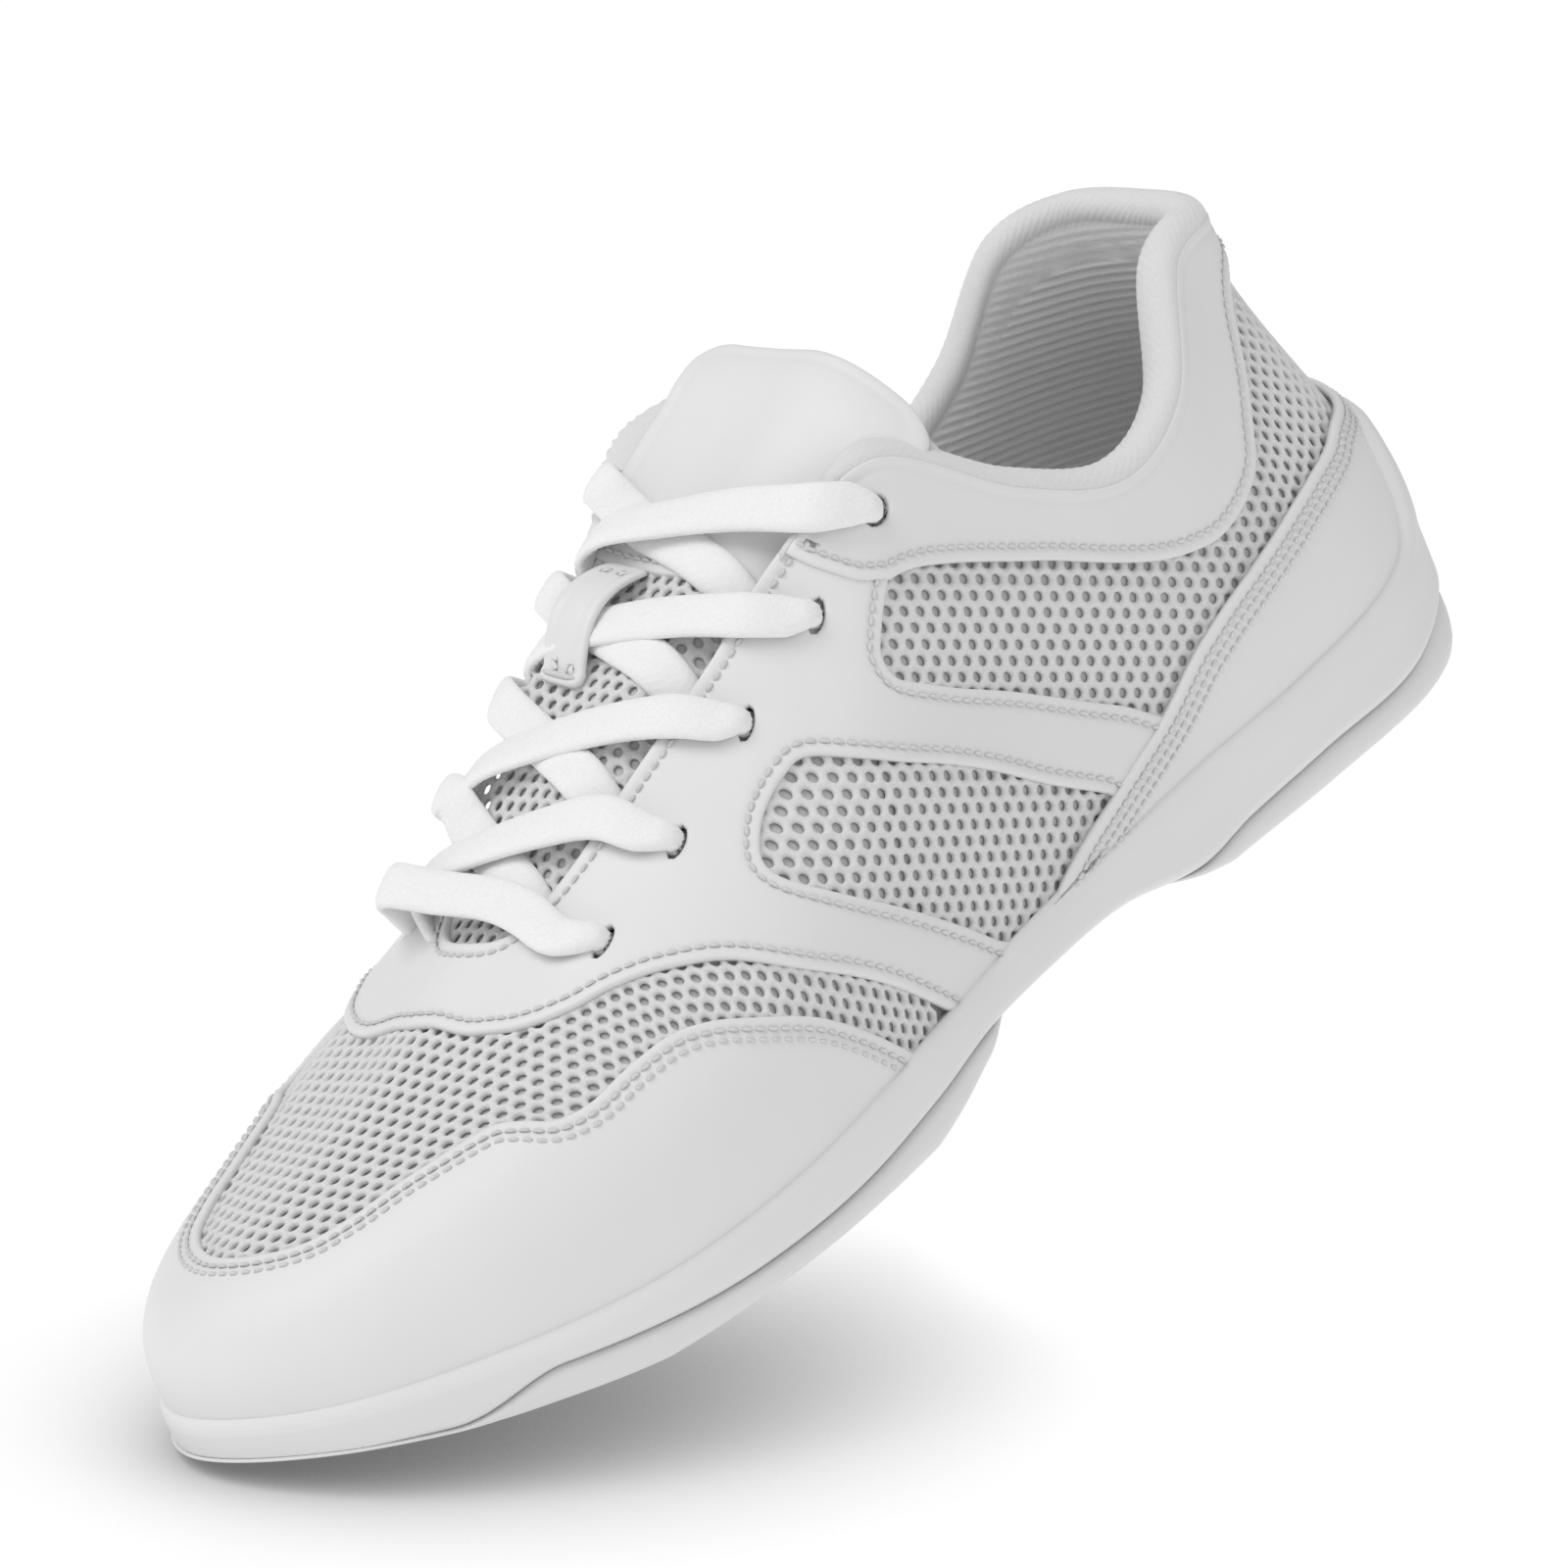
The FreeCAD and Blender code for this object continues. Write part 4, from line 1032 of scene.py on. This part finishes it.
def make_keeper(leather, thread):
    """Leather loop on the tongue that the laces pass under."""
    def on_loop(side, share, height):
        at = KEEPER_START + (KEEPER_END - KEEPER_START) * share
        arch = np.sin(np.pi * np.clip((share - 0.1) / 0.88, 0, 1)) ** 0.9
        x = KEEPER_X + side * KEEPER_HALF
        return tongue(x / along(MEDIAL_HALF, tongue_y(at)), at, height + 1.4 + KEEPER_LIFT * arch)

    loop = rounded_plate("lace_keeper", on_loop, 2 * KEEPER_HALF, 25.0, leather, radius=1.4,
                         thickness=1.1)
    attach(loop, "leather", "rear_shoe", "tongue_lace_loop")
    # one thick bar of thread holds the foot of the loop
    side = np.linspace(-0.95, 0.95, 20)
    line = on_loop(side, np.full(20, 0.05), 0.1)
    rows = [(line, unit(on_loop(side, np.full(20, 0.05), 1.1) - line))]
    attach(stitches("lace_keeper_stitches", rows, thread, length=7.6, pitch=8.2, radius=0.5),
           "thread", "rear_shoe")


# ------------------------------------------------------------------ laces
LACE_WIDTH, LACE_THICKNESS = 7.4, 2.1


def smooth_path(points, step):
    """Evenly spaced points on a smooth open curve through the points."""
    p = np.array(points, float)
    knots = np.concatenate([[0], np.cumsum(np.linalg.norm(np.diff(p, axis=0), axis=1) ** 0.5)])
    line = hermite(knots, p, np.gradient(p, knots, axis=0), np.linspace(0, knots[-1], 400))
    run = lengths(line)
    return resampled(np.arange(0, run[-1], step), run, line)


def flat_lace(name, points, facings, widths, material):
    """A woven flat lace along a path; facings are the way its flat side looks at each point."""
    step = 0.42
    line = smooth_path(points, step)
    p = np.array(points, float)
    knots = lengths(p)
    at = np.linspace(0, knots[-1], len(line))
    facing = unit(resampled(at, knots, np.array(facings, float)))
    width = np.interp(at, knots, widths)
    ahead = unit(np.gradient(line, axis=0))
    side = unit(np.cross(ahead, facing))
    up = unit(np.cross(side, ahead))
    turn = full_turn(44)
    flat, high = rounded(np.cos(turn), 0.72), rounded(np.sin(turn), 0.8)
    squeeze = LACE_WIDTH / width
    thick = LACE_THICKNESS * np.clip(squeeze, 1.0, 1.5)
    run = np.arange(len(line)) * step
    # two bands of slanting weave meeting along the middle, and softly corded edges
    chevron = np.sin(2 * np.pi * (run[:, None] / 1.45 + np.abs(flat)[None] * 2.1))
    weave = 0.085 * chevron * (np.abs(high)[None] ** 0.5)
    swell = 1.0 + 0.035 * np.sin(run / 9.0 + p[0, 1])
    across = flat[None] * (width * swell)[:, None] / 2
    lift = high[None] * (thick[:, None] / 2 + weave) - 0.25 * np.abs(flat)[None] ** 3
    grid = line[:, None] + side[:, None] * across[..., None] + up[:, None] * lift[..., None]
    return new_piece(name, grid.reshape(-1, 3), tube_faces(len(line), len(turn)), material)


# Where the strands cross the edges of the throat (stations) and where they turn over on the medial
# side (x, y, z), from the top row down.  Strands from the lateral holes lie on top.
LATERAL_RIMS = (6.58, 7.5, 8.42, 9.4)
LATERAL_TURNS = ((-16, 2, 85.5), (-16, -14.2, 76.2), (-16, -34.6, 66.1), (-16, -49.8, 57.4))
MEDIAL_RIMS = (6.75, 7.6, 8.5, 9.35)
MEDIAL_TURNS = ((-21.5, 8.8, 90.6), (-20.5, -8, 81.2), (-19.5, -24.4, 71.6), (-19.5, -39.4, 64.0))
MEDIAL_TUCKS = (7.25, 8.1, 9.2, 10.35)
BAR_RIM = 10.6
BAR_SPOTS = ((3, -53.4, 56.2), (-8, -54.8, 57.6), (-17, -56.5, 59.3), (-21, -54.6, 56.6))


def hole_end(row, side, rim_station):
    """A lace's way out of its hole and over the leather to the edge of the throat."""
    station, rise = EYELETS[row]
    normal = band_frame(side * station, rise)[3]
    raised = RAISED if row == 0 else 0.0
    rim = upper(side * rim_station, 0.99, 1.9 + raised)
    rim_normal = band_frame(side * rim_station, 0.98)[3]
    toward = unit(rim - upper(side * station, rise, 0.0))
    lead = unit(toward + normal * 0.6)
    out = unit(normal - toward * 0.4)
    hole = upper(side * station, rise, raised) + toward * 0.95
    middle_station = station + 0.42 * (rim_station - station)
    return [(hole - normal * 2.7, unit(lead + normal * 0.2), 3.4),
            (hole + normal * 0.5, out, 4.0),
            (upper(side * middle_station, rise + 0.42 * (0.99 - rise), 1.8 + raised), normal, 6.6),
            (rim, rim_normal, LACE_WIDTH)]


def above_tongue(point, clearance):
    """Lifts a point so that it clears the tongue."""
    floor, _ = over_tongue(point[0], point[1], clearance)
    return np.array([point[0], point[1], max(point[2], floor[2])])


def strand(name, row, side, material):
    """Out of one hole, across the throat, and under the other edge."""
    rim_station = (LATERAL_RIMS if side > 0 else MEDIAL_RIMS)[row]
    path = hole_end(row, side, rim_station)
    rim, rim_facing, _ = path[-1]
    if side > 0:
        turn = np.array(LATERAL_TURNS[row], float) + SHIFT
        turn_facing = unit(np.array([-0.42, -0.30, 0.85]))
        for share in (0.33, 0.66):
            spot = rim * (1 - share) + turn * share + [0, 0, 1.5 * math.sin(math.pi * share)]
            facing = unit(rim_facing * (1 - share) + turn_facing * share)
            path.append((above_tongue(spot, 3.0), facing, LACE_WIDTH))
        path.append((turn, turn_facing, LACE_WIDTH))
        path.append((turn + [-3.0, -2.0, -3.6], unit(np.array([-0.9, -0.3, 0.3])), 7.0))
        end_y = turn[1] - 3.5
        stations = np.linspace(6, 11.5, 60)
        edge = np.interp(-end_y, -band(stations, 1.0)[:, 1], stations)
        path.append((upper(-edge, 0.95, -4.6), unit(np.array([-0.9, -0.2, 0.4])), 6.4))
    else:
        turn = np.array(MEDIAL_TURNS[row], float) + SHIFT
        hole, hole_facing = path[1][0], band_frame(-EYELETS[row][0], EYELETS[row][1])[3]
        path = path[:2]
        for share, swell in ((0.3, 2.6), (0.68, 2.8)):
            spot = hole * (1 - share) + turn * share + hole_facing * swell
            facing = unit(hole_facing * (1 - share) + np.array([-1.0, -0.2, 0.25]) * share)
            path.append((spot, facing, 5.8 + 1.6 * share))
        path.append((turn + [0.6, -0.1, 0.0], unit(np.array([-0.62, -0.2, 0.76])), LACE_WIDTH))
        tuck = upper(MEDIAL_TUCKS[row], 0.955, -4.4)
        tuck_facing = unit(np.array([0.45, -0.35, 0.82]))
        for share in (0.16, 0.3, 0.5, 0.78):
            spot = turn * (1 - share) + tuck * share - [0, 0, 1.8 * math.sin(math.pi * share)]
            facing = unit(np.array([-0.25, -0.4, 0.88]) * (1 - share) + tuck_facing * share)
            path.append((above_tongue(spot, 1.3), facing, LACE_WIDTH))
        path.append((tuck, tuck_facing, 6.4))
    points, facings, widths = zip(*path)
    return flat_lace(name, points, facings, widths, material)


def bottom_bar(material):
    path = hole_end(len(EYELETS) - 1, 1, BAR_RIM)
    rim_facing = path[-1][1]
    for k, spot in enumerate(BAR_SPOTS):
        share = (k + 1) / len(BAR_SPOTS)
        facing = unit(rim_facing * (1 - share) + np.array([-0.75, -0.35, 0.55]) * share)
        path.append((np.array(spot, float) + SHIFT, facing, LACE_WIDTH))
    path += hole_end(len(EYELETS) - 1, -1, BAR_RIM)[1::-1]
    points, facings, widths = zip(*path)
    return flat_lace("lace_bar_front", points, facings, widths, material)


def make_laces(material):
    first = None
    for row in range(len(EYELETS) - 1):
        for side, word in ((1, "lateral"), (-1, "medial")):
            piece = strand(f"lace_{word}_{row + 1}", row, side, material)
            nodes = () if first else ("shoelace",)
            first = first or piece
            attach(piece, "lace", "flex", *nodes)
    attach(bottom_bar(material), "lace", "flex")


# ------------------------------------------------------------------ materials
def new_node(tree, kind, **values):
    """A shader node; an underscore in a keyword stands for a space in the input's name."""
    node = tree.nodes.new(kind)
    for key, value in values.items():
        node.inputs[key.replace("_", " ")].default_value = value
    return node


class Look:
    """A procedural material whose patterns are measured in millimetres on the rested object."""

    def __init__(self, name, colour, roughness, sheen=0.0, specular=0.35):
        self.material = bpy.data.materials.new(name)
        self.material.use_nodes = True
        self.tree = self.material.node_tree
        self.shader = self.tree.nodes["Principled BSDF"]
        values = {"Base Color": (*colour, 1), "Roughness": roughness, "Specular IOR Level": specular}
        if sheen:
            values.update({"Sheen Weight": sheen, "Sheen Roughness": 0.6})
        for key, value in values.items():
            self.shader.inputs[key].default_value = value
        self.colour = colour
        self.place = self.tree.nodes.new("ShaderNodeTexCoord").outputs["Object"]
        self.normal = None

    def link(self, output, target):
        self.tree.links.new(output, target)

    def texture(self, kind, per_mm, output, **values):
        node = new_node(self.tree, kind, Scale=per_mm / MM, **values)
        self.link(self.place, node.inputs["Vector"])
        return node.outputs[output]

    def noise(self, per_mm, detail, **values):
        return self.texture("ShaderNodeTexNoise", per_mm, "Fac", Detail=detail, **values)

    def shade(self, output, darker, low=0.3, high=0.7):
        """Multiplies the colour between 'darker' and 1 by a pattern."""
        ramp = new_node(self.tree, "ShaderNodeMapRange", From_Min=low, From_Max=high, To_Min=darker)
        self.link(output, ramp.inputs["Value"])
        mix = self.tree.nodes.new("ShaderNodeVectorMath")
        mix.operation = "MULTIPLY"
        base = self.shader.inputs["Base Color"]
        if base.is_linked:
            self.link(base.links[0].from_socket, mix.inputs[0])
        else:
            mix.inputs[0].default_value = self.colour
        self.link(ramp.outputs["Result"], mix.inputs[1])
        self.link(mix.outputs["Vector"], base)

    def bump(self, output, height, strength=1.0):
        """Adds relief; height in millimetres."""
        node = new_node(self.tree, "ShaderNodeBump", Strength=strength, Distance=height * MM)
        self.link(output, node.inputs["Height"])
        if self.normal:
            self.link(self.normal, node.inputs["Normal"])
        self.normal = node.outputs["Normal"]
        self.link(self.normal, self.shader.inputs["Normal"])

    def rough(self, output, low, high):
        ramp = new_node(self.tree, "ShaderNodeMapRange", To_Min=low, To_Max=high)
        self.link(output, ramp.inputs["Value"])
        self.link(ramp.outputs["Result"], self.shader.inputs["Roughness"])

    def paint_crevice_shade(self, darker, reach=1.2):
        """Painted shade: darkens the base colour in creases and hollows by ambient occlusion."""
        node = new_node(self.tree, "ShaderNodeAmbientOcclusion", Distance=reach * MM)
        node.samples = 4
        self.shade(node.outputs["AO"], darker, 0.2, 0.95)


def leather_look():
    look = Look("white_synthetic_leather", (0.80, 0.80, 0.805), 0.46, specular=0.4)
    grain = look.texture("ShaderNodeTexVoronoi", 1.5, "Distance")
    pores = look.noise(2.6, 4.0)
    wear = look.noise(0.035, 3.0)
    look.shade(wear, 0.975)
    look.rough(wear, 0.40, 0.52)
    look.bump(grain, 0.012)
    look.bump(pores, 0.018)
    look.bump(look.noise(0.09, 2.0), 0.5, 0.35)
    # painted shade: ambient occlusion darkens the leather's colour in creases and along seams
    look.paint_crevice_shade(0.90)
    return look.material


def thread_look():
    look = Look("sewing_thread", (0.74, 0.74, 0.745), 0.6, sheen=0.2)
    twist = look.texture("ShaderNodeTexWave", 1.1, "Fac", Distortion=1.0)
    look.bump(twist, 0.05)
    look.shade(twist, 0.9)
    # painted shade: ambient occlusion darkens the thread where it sinks into the stitch holes
    look.paint_crevice_shade(0.72, 0.7)
    return look.material


def rubber_look(name, colour, roughness):
    look = Look(name, colour, roughness, specular=0.4)
    fine, cloud = look.noise(1.8, 6.0), look.noise(0.03, 2.0)
    look.shade(cloud, 0.98)
    look.rough(cloud, roughness - 0.05, roughness + 0.06)
    look.bump(fine, 0.02)
    # painted shade: ambient occlusion darkens the rubber's colour in grooves and hollows
    look.paint_crevice_shade(0.90, 1.5)
    return look.material


def grainy_look(name, colour, roughness, sheen, per_mm, relief, darker, detail=4.0, crevice_shade=None,
                **values):
    """One fine noise, as relief and as shade: yarn, foam, board and the like."""
    look = Look(name, colour, roughness, sheen=sheen)
    grain = look.noise(per_mm, detail, **values)
    look.bump(grain, relief)
    look.shade(grain, darker)
    # optional painted shade in the creases, darkened by ambient occlusion
    if crevice_shade:
        look.paint_crevice_shade(*crevice_shade)
    return look.material


LEATHER_LOOK, THREAD_LOOK = leather_look(), thread_look()
MESH_LOOK = grainy_look("open_mesh_yarn", (0.80, 0.80, 0.805), 0.62, 0.25, 2.2, 0.12, 0.86, 5.0,
                        Roughness=0.7)
# the backing is greyed as painted shade: it darkens the mesh holes in place of the shadow inside them
SHADE_GREY_BACKING_LOOK = grainy_look("mesh_backing_shade_grey", (0.68, 0.68, 0.69), 0.85, 0.0, 1.6, 0.1, 0.88)
# painted shade: the last pair darkens the collar knit's colour in its creases by ambient occlusion
COLLAR_LOOK = grainy_look("ribbed_collar_knit", (0.77, 0.77, 0.775), 0.72, 0.35, 2.8, 0.06, 0.93,
                          5.0, (0.80, 0.9))
LINING_LOOK = grainy_look("plain_lining", (0.70, 0.70, 0.705), 0.8, 0.2, 2.0, 0.08, 0.9)
# painted shade: the last pair darkens the laces' colour where they lie under and over each other
LACE_LOOK = grainy_look("woven_lace", (0.93, 0.93, 0.935), 0.66, 0.3, 2.4, 0.07, 0.93, 4.0,
                        (0.88, 0.8))
RUBBER_LOOK = rubber_look("tread_rubber", (0.76, 0.76, 0.765), 0.55)
SOLE_LOOK = rubber_look("midsole_foam_skin", (0.79, 0.79, 0.795), 0.50)
FOAM_LOOK = grainy_look("open_cell_foam", (0.74, 0.72, 0.66), 0.9, 0.0, 0.9, 0.2, 0.85)
BOARD_LOOK = grainy_look("fibre_board", (0.62, 0.56, 0.46), 0.85, 0.0, 1.4, 0.05, 0.85)
STIFF_LOOK = grainy_look("stiffener_sheet", (0.70, 0.70, 0.68), 0.5, 0.0, 0.6, 0.02, 0.85)
SHANK_LOOK = grainy_look("glass_filled_nylon", (0.05, 0.05, 0.055), 0.4, 0.0, 1.2, 0.02, 0.85)
# near black: painted shade inside the lace holes
HOLE_SHADE_LOOK = grainy_look("painted_hole_shade", (0.04, 0.04, 0.045), 0.8, 0.0, 1.0, 0.02, 0.85)


# ------------------------------------------------------------------ upper
HOLE_SIDES = 24


def hole_ring(station, rise, radius):
    """A circle on the upper, as station and rise."""
    _, across, up, _ = band_frame(station, rise)
    turn = full_turn(HOLE_SIDES)[:, None]
    vector = radius * (unit(across) * np.cos(turn) + unit(up) * np.sin(turn))
    return np.array([station, rise]) + solve_in_surface(across, up, vector)


def row_of(first, last, count, rise):
    """Points at one height from station to station."""
    return np.stack([np.linspace(first, last, count), np.full(count, rise)], -1)


def eyestay_outline():
    foot = np.array([(3.7, 0.08), (3.9, -0.03), (4.6, -0.035), (5.6, -0.035), (6.3, -0.035)])
    collar = np.array([(5.95, 0.88), (6.2, 0.93), (6.5, 0.985)])
    lateral, medial = [np.vstack([foot, run_of(line)]) for line in (EYESTAY_FRONT, MEDIAL_STAY_FRONT)]
    lower = np.vstack([lateral[:-1], mirrored(medial)])
    top = np.vstack([foot[:1], run_of(REAR_WINDOW_FOOT)[::-1], collar, row_of(6.7, 12.0, 60, 0.998)])
    top = np.vstack([top[:-1], mirrored(top)])
    return np.vstack([lower, top[::-1][1:-1]])


def make_overlays():
    edge = run_of(TOE_CAP_EDGE)
    cap = np.vstack([edge[:-1], mirrored(edge)])
    outline = np.vstack([cap[::-1], row_of(6.9, RING - 6.9, 160, LAST_RISE)])
    attach(leather_panel("toe_cap_leather", outline, []), "leather", "flex", "toe_cap")

    window = closed_run(FRONT_WINDOW)
    holes = [window, mirrored(window)] + [hole_ring(*spot, EYELET_RADIUS) for spot in EYELET_SPOTS]
    attach(leather_panel("eyestay_leather", eyestay_outline(), holes), "leather", "flex",
           "eyestay", "eyelet_stay_lateral", "eyelet_stay_medial")

    edge = np.vstack([run_of(COLLAR_EDGE)[:-1], run_of(COLLAR_NOSE)])
    collar_edge = np.vstack([mirrored_heel(edge)[:-1], edge])
    outline = np.vstack([collar_edge, row_of(6.85, -6.85, 200, 0.987)])
    holes = [hole_ring(side * EYELETS[0][0], EYELETS[0][1], EYELET_RADIUS) for side in (1, -1)]
    attach(leather_panel("collar_leather", outline, holes, RAISED), "leather", "rear_shoe",
           "collar_overlay")

    edge = run_of(HEEL_EDGE)
    heel_edge = np.vstack([mirrored_heel(edge)[:-1], edge])
    outline = np.vstack([heel_edge, row_of(5.4, -5.4, 140, LAST_RISE)])
    attach(leather_panel("heel_leather", outline, [], RAISED), "leather", "rear_shoe", "heel_foxing")
    return cap, window, collar_edge, heel_edge


def make_seams(cap_edge, window, collar_edge, heel_edge):
    """Stitch rows along every overlay's edge."""
    flex_rows = [sewn(cap_edge[::-1], distance) for distance in (1.9, 3.5)]
    front = np.vstack([run_of(EYESTAY_FRONT)[:-1], mirrored(run_of(MEDIAL_STAY_FRONT))])
    flex_rows.append(sewn(front, 2.0))
    for loop in (window, mirrored(window)):
        ahead = loop if chart_area(loop) < 0 else loop[::-1]
        flex_rows.append(sewn(ahead, 2.0, closed=True))
    flex_rows.append(sewn(row_of(RING - 6.95, 6.95, 260, 0.998), 2.3))
    # the leather lies below and in front of the window's edge
    rear = run_of(REAR_WINDOW_FOOT)
    flex_rows += [sewn(line, 2.0) for line in (rear, mirrored_heel(rear))]
    rear_rows = [sewn(collar_edge, 2.2, RAISED)]
    rear_rows += [sewn(heel_edge[::-1], distance, RAISED) for distance in (1.9, 3.3, 4.7)]
    attach(stitches("upper_stitches", flex_rows, THREAD_LOOK), "thread", "flex")
    attach(stitches("heel_and_collar_stitches", rear_rows, THREAD_LOOK, length=1.6, pitch=1.85),
           "thread", "rear_shoe")


def make_hole_cups():
    """The inside of each lace hole, coloured near black as painted shade."""
    wall, flange = EYELET_RADIUS + 0.35, EYELET_RADIUS + 0.75
    profile = ((wall, -0.9), (wall, -2.3), (0.1, -2.4), (0.1, -2.7), (flange, -2.6), (flange, -0.9))
    points, faces = [], []
    for number, spot in enumerate(EYELET_SPOTS):
        for radius, depth in profile:
            ring = hole_ring(*spot, radius)
            points.append(upper(ring[:, 0], ring[:, 1], np.full(HOLE_SIDES, depth)))
        faces += grid_faces(len(profile), HOLE_SIDES, wrap_rows=True, wrap_columns=True,
                            first=number * len(profile) * HOLE_SIDES)
    attach(new_piece("lace_hole_walls", np.vstack(points), faces, HOLE_SHADE_LOOK), "stiffener", "flex")


QUARTER_TILT = -31           # degrees that the side net is turned by


def make_mesh_panels():
    attach(upper_net("vamp_open_mesh", vamp_rays, (-80.0, 80.0, -62.0, 92.0), vamp_region),
           "mesh", "flex", "vamp_mesh")
    for side, word in ((1, "lateral"), (-1, "medial")):
        def keep(station, rise):
            ours = (station < TOE) if side > 0 else (station > TOE)
            return ours & (front_window_region(station, rise) | rear_window_region(station, rise))

        net = upper_net(f"quarter_open_mesh_{word}", quarter_rays(side), (-40.0, 144.0, 10.0, 88.0),
                        keep, QUARTER_TILT)
        attach(net, "mesh", "flex", f"quarter_mesh_{word}")
    attach(backing_sheet("mesh_backing_front", 6.3, RING - 6.3), "mesh", "flex")
    attach(backing_sheet("mesh_backing_rear", -6.32, 6.32), "mesh", "flex")


# ------------------------------------------------------------------ CAD parts that stay inside
SLICE = 0.004                # metres between the cuts that let a copied part bend


def flexible_copy(node, material, slot):
    """A copy of a hidden CAD part, sliced across the shoe so that it can bend."""
    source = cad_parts[node]
    work = bmesh.new()
    work.from_mesh(source.data)
    for y in np.arange(FLEX_END[1], FLEX_START[1], SLICE):
        bmesh.ops.bisect_plane(work, geom=work.verts[:] + work.edges[:] + work.faces[:],
                               plane_co=(0, y, 0), plane_no=(0, 1, 0))
    mesh = bpy.data.meshes.new(node + "_soft")
    work.to_mesh(mesh)
    work.free()
    mesh.materials.clear()
    mesh.materials.append(material)
    attach(add_object(node + "_soft", mesh), slot, "flex", node)


def make_inside():
    for node, look, slot in (("lasting_board", BOARD_LOOK, "board"),
                             ("sockliner_foam", FOAM_LOOK, "foam"),
                             ("sockliner_cover", LINING_LOOK, "lining_textile"),
                             ("vamp_lining", LINING_LOOK, "lining_textile"),
                             ("toe_puff", STIFF_LOOK, "stiffener")):
        flexible_copy(node, look, slot)
    for node, look in (("heel_counter", STIFF_LOOK), ("arch_shank", SHANK_LOOK),
                       ("quarter_lining", LINING_LOOK)):
        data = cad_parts[node].data
        data.materials.clear()
        data.materials.append(look)


# ------------------------------------------------------------------ studio
def mixed(tree, share, first, second, target):
    """Joins two shaders by a share and links the result to the target's surface."""
    mix = tree.nodes.new("ShaderNodeMixShader")
    for output, place in zip((share, first, second), mix.inputs):
        tree.links.new(output, place)
    tree.links.new(mix.outputs["Shader"], tree.nodes[target].inputs["Surface"])


def make_studio():
    azimuth, elevation, roll = (math.radians(v) for v in (56.08, 20.97, 23.78))
    distance, aim = 1.0817, Vector((3.31, 3.25, 43.77)) * MM
    back = Vector((math.sin(azimuth) * math.cos(elevation), -math.cos(azimuth) * math.cos(elevation),
                   math.sin(elevation)))
    right = Vector((math.cos(azimuth), math.sin(azimuth), 0))
    up = back.cross(right)
    image_right = right * math.cos(roll) - up * math.sin(roll)
    image_up = right * math.sin(roll) + up * math.cos(roll)
    camera = add_object("camera", bpy.data.cameras.new("camera"))
    camera.data.lens, camera.data.sensor_width = 164.94, 36.0
    camera.data.clip_start, camera.data.clip_end = 0.05, 20
    turn = Matrix((image_right, image_up, back)).transposed()
    camera.matrix_world = Matrix.Translation(aim + back * distance) @ turn.to_4x4()
    bpy.context.scene.camera = camera

    # the floor under the tipped-up toe
    floor_up = (image_up * math.cos(math.radians(14)) + back * math.sin(math.radians(14))).normalized()
    corners = []
    for node in ("forefoot_outsole", "midsole", "heel_outsole"):
        corners += [v.co.dot(floor_up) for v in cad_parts[node].data.vertices]
    level = min(corners) - 0.001
    mesh = bpy.data.meshes.new("floor")
    side = image_right
    ahead = floor_up.cross(side)
    middle = aim + floor_up * (level - aim.dot(floor_up))
    reach = 4.0
    mesh.from_pydata([middle + side * reach * x + ahead * reach * y
                      for x, y in ((-1, -1), (1, -1), (1, 1), (-1, 1))], [], [(0, 1, 2, 3)])
    add_object("floor", mesh)
    material = bpy.data.materials.new("floor_white_painted_shadow")
    material.use_nodes = True
    tree = material.node_tree
    tree.nodes.remove(tree.nodes["Principled BSDF"])
    # painted contact shadow: ambient occlusion dims the floor's even glow close to the shoe
    near = new_node(tree, "ShaderNodeAmbientOcclusion", Distance=0.055)
    near.samples = 16
    painted_shadow_ramp = new_node(tree, "ShaderNodeMapRange", From_Min=0.05, From_Max=0.93, To_Min=0.14,
                    To_Max=1.02)
    paper = tree.nodes.new("ShaderNodeEmission")
    tree.links.new(near.outputs["AO"], painted_shadow_ramp.inputs["Value"])
    tree.links.new(painted_shadow_ramp.outputs["Result"], paper.inputs["Strength"])
    clear = tree.nodes.new("ShaderNodeBsdfTransparent")
    facing = tree.nodes.new("ShaderNodeNewGeometry")
    mixed(tree, facing.outputs["Backfacing"], paper.outputs["Emission"], clear.outputs["BSDF"],
          "Material Output")
    mesh.materials.append(material)

    def lamp(name, kind, direction, strength, size, far=1.2):
        data = bpy.data.lights.new(name, kind)
        data.energy = strength
        if kind == "AREA":
            data.size = size
        else:
            data.angle = size
        light = add_object(name, data)
        light.location = aim + direction.normalized() * far
        light.rotation_euler = direction.to_track_quat("Z", "Y").to_euler()

    lamp("key", "SUN", image_up * 1.0 - image_right * 0.75 + back * 0.55, 1.15, math.radians(40))
    lamp("fill", "SUN", image_up * 0.35 + image_right * 0.4 + back * 1.0, 0.30, math.radians(60))
    world = bpy.data.worlds.new("white_room")
    bpy.context.scene.world = world
    world.use_nodes = True
    tree = world.node_tree
    soft = tree.nodes["Background"]
    soft.inputs["Color"].default_value = (1, 1, 1, 1)
    soft.inputs["Strength"].default_value = 0.52
    seen = new_node(tree, "ShaderNodeBackground", Color=(1, 1, 1, 1), Strength=1.02)
    path = tree.nodes.new("ShaderNodeLightPath")
    mixed(tree, path.outputs["Is Camera Ray"], soft.outputs["Background"],
          seen.outputs["Background"], "World Output")
    bpy.context.scene.view_settings.view_transform = "Standard"
    bpy.context.scene.view_settings.look = "None"


make_sole(RUBBER_LOOK, SOLE_LOOK)
make_seams(*make_overlays())
make_hole_cups()
make_mesh_panels()
attach(collar(COLLAR_LOOK), "collar_textile", "rear_shoe", "collar_lining", "collar_foam")
make_tongue(LEATHER_LOOK, MESH_LOOK, SHADE_GREY_BACKING_LOOK, COLLAR_LOOK, THREAD_LOOK)
make_keeper(LEATHER_LOOK, THREAD_LOOK)
make_laces(LACE_LOOK)
make_inside()
make_studio()
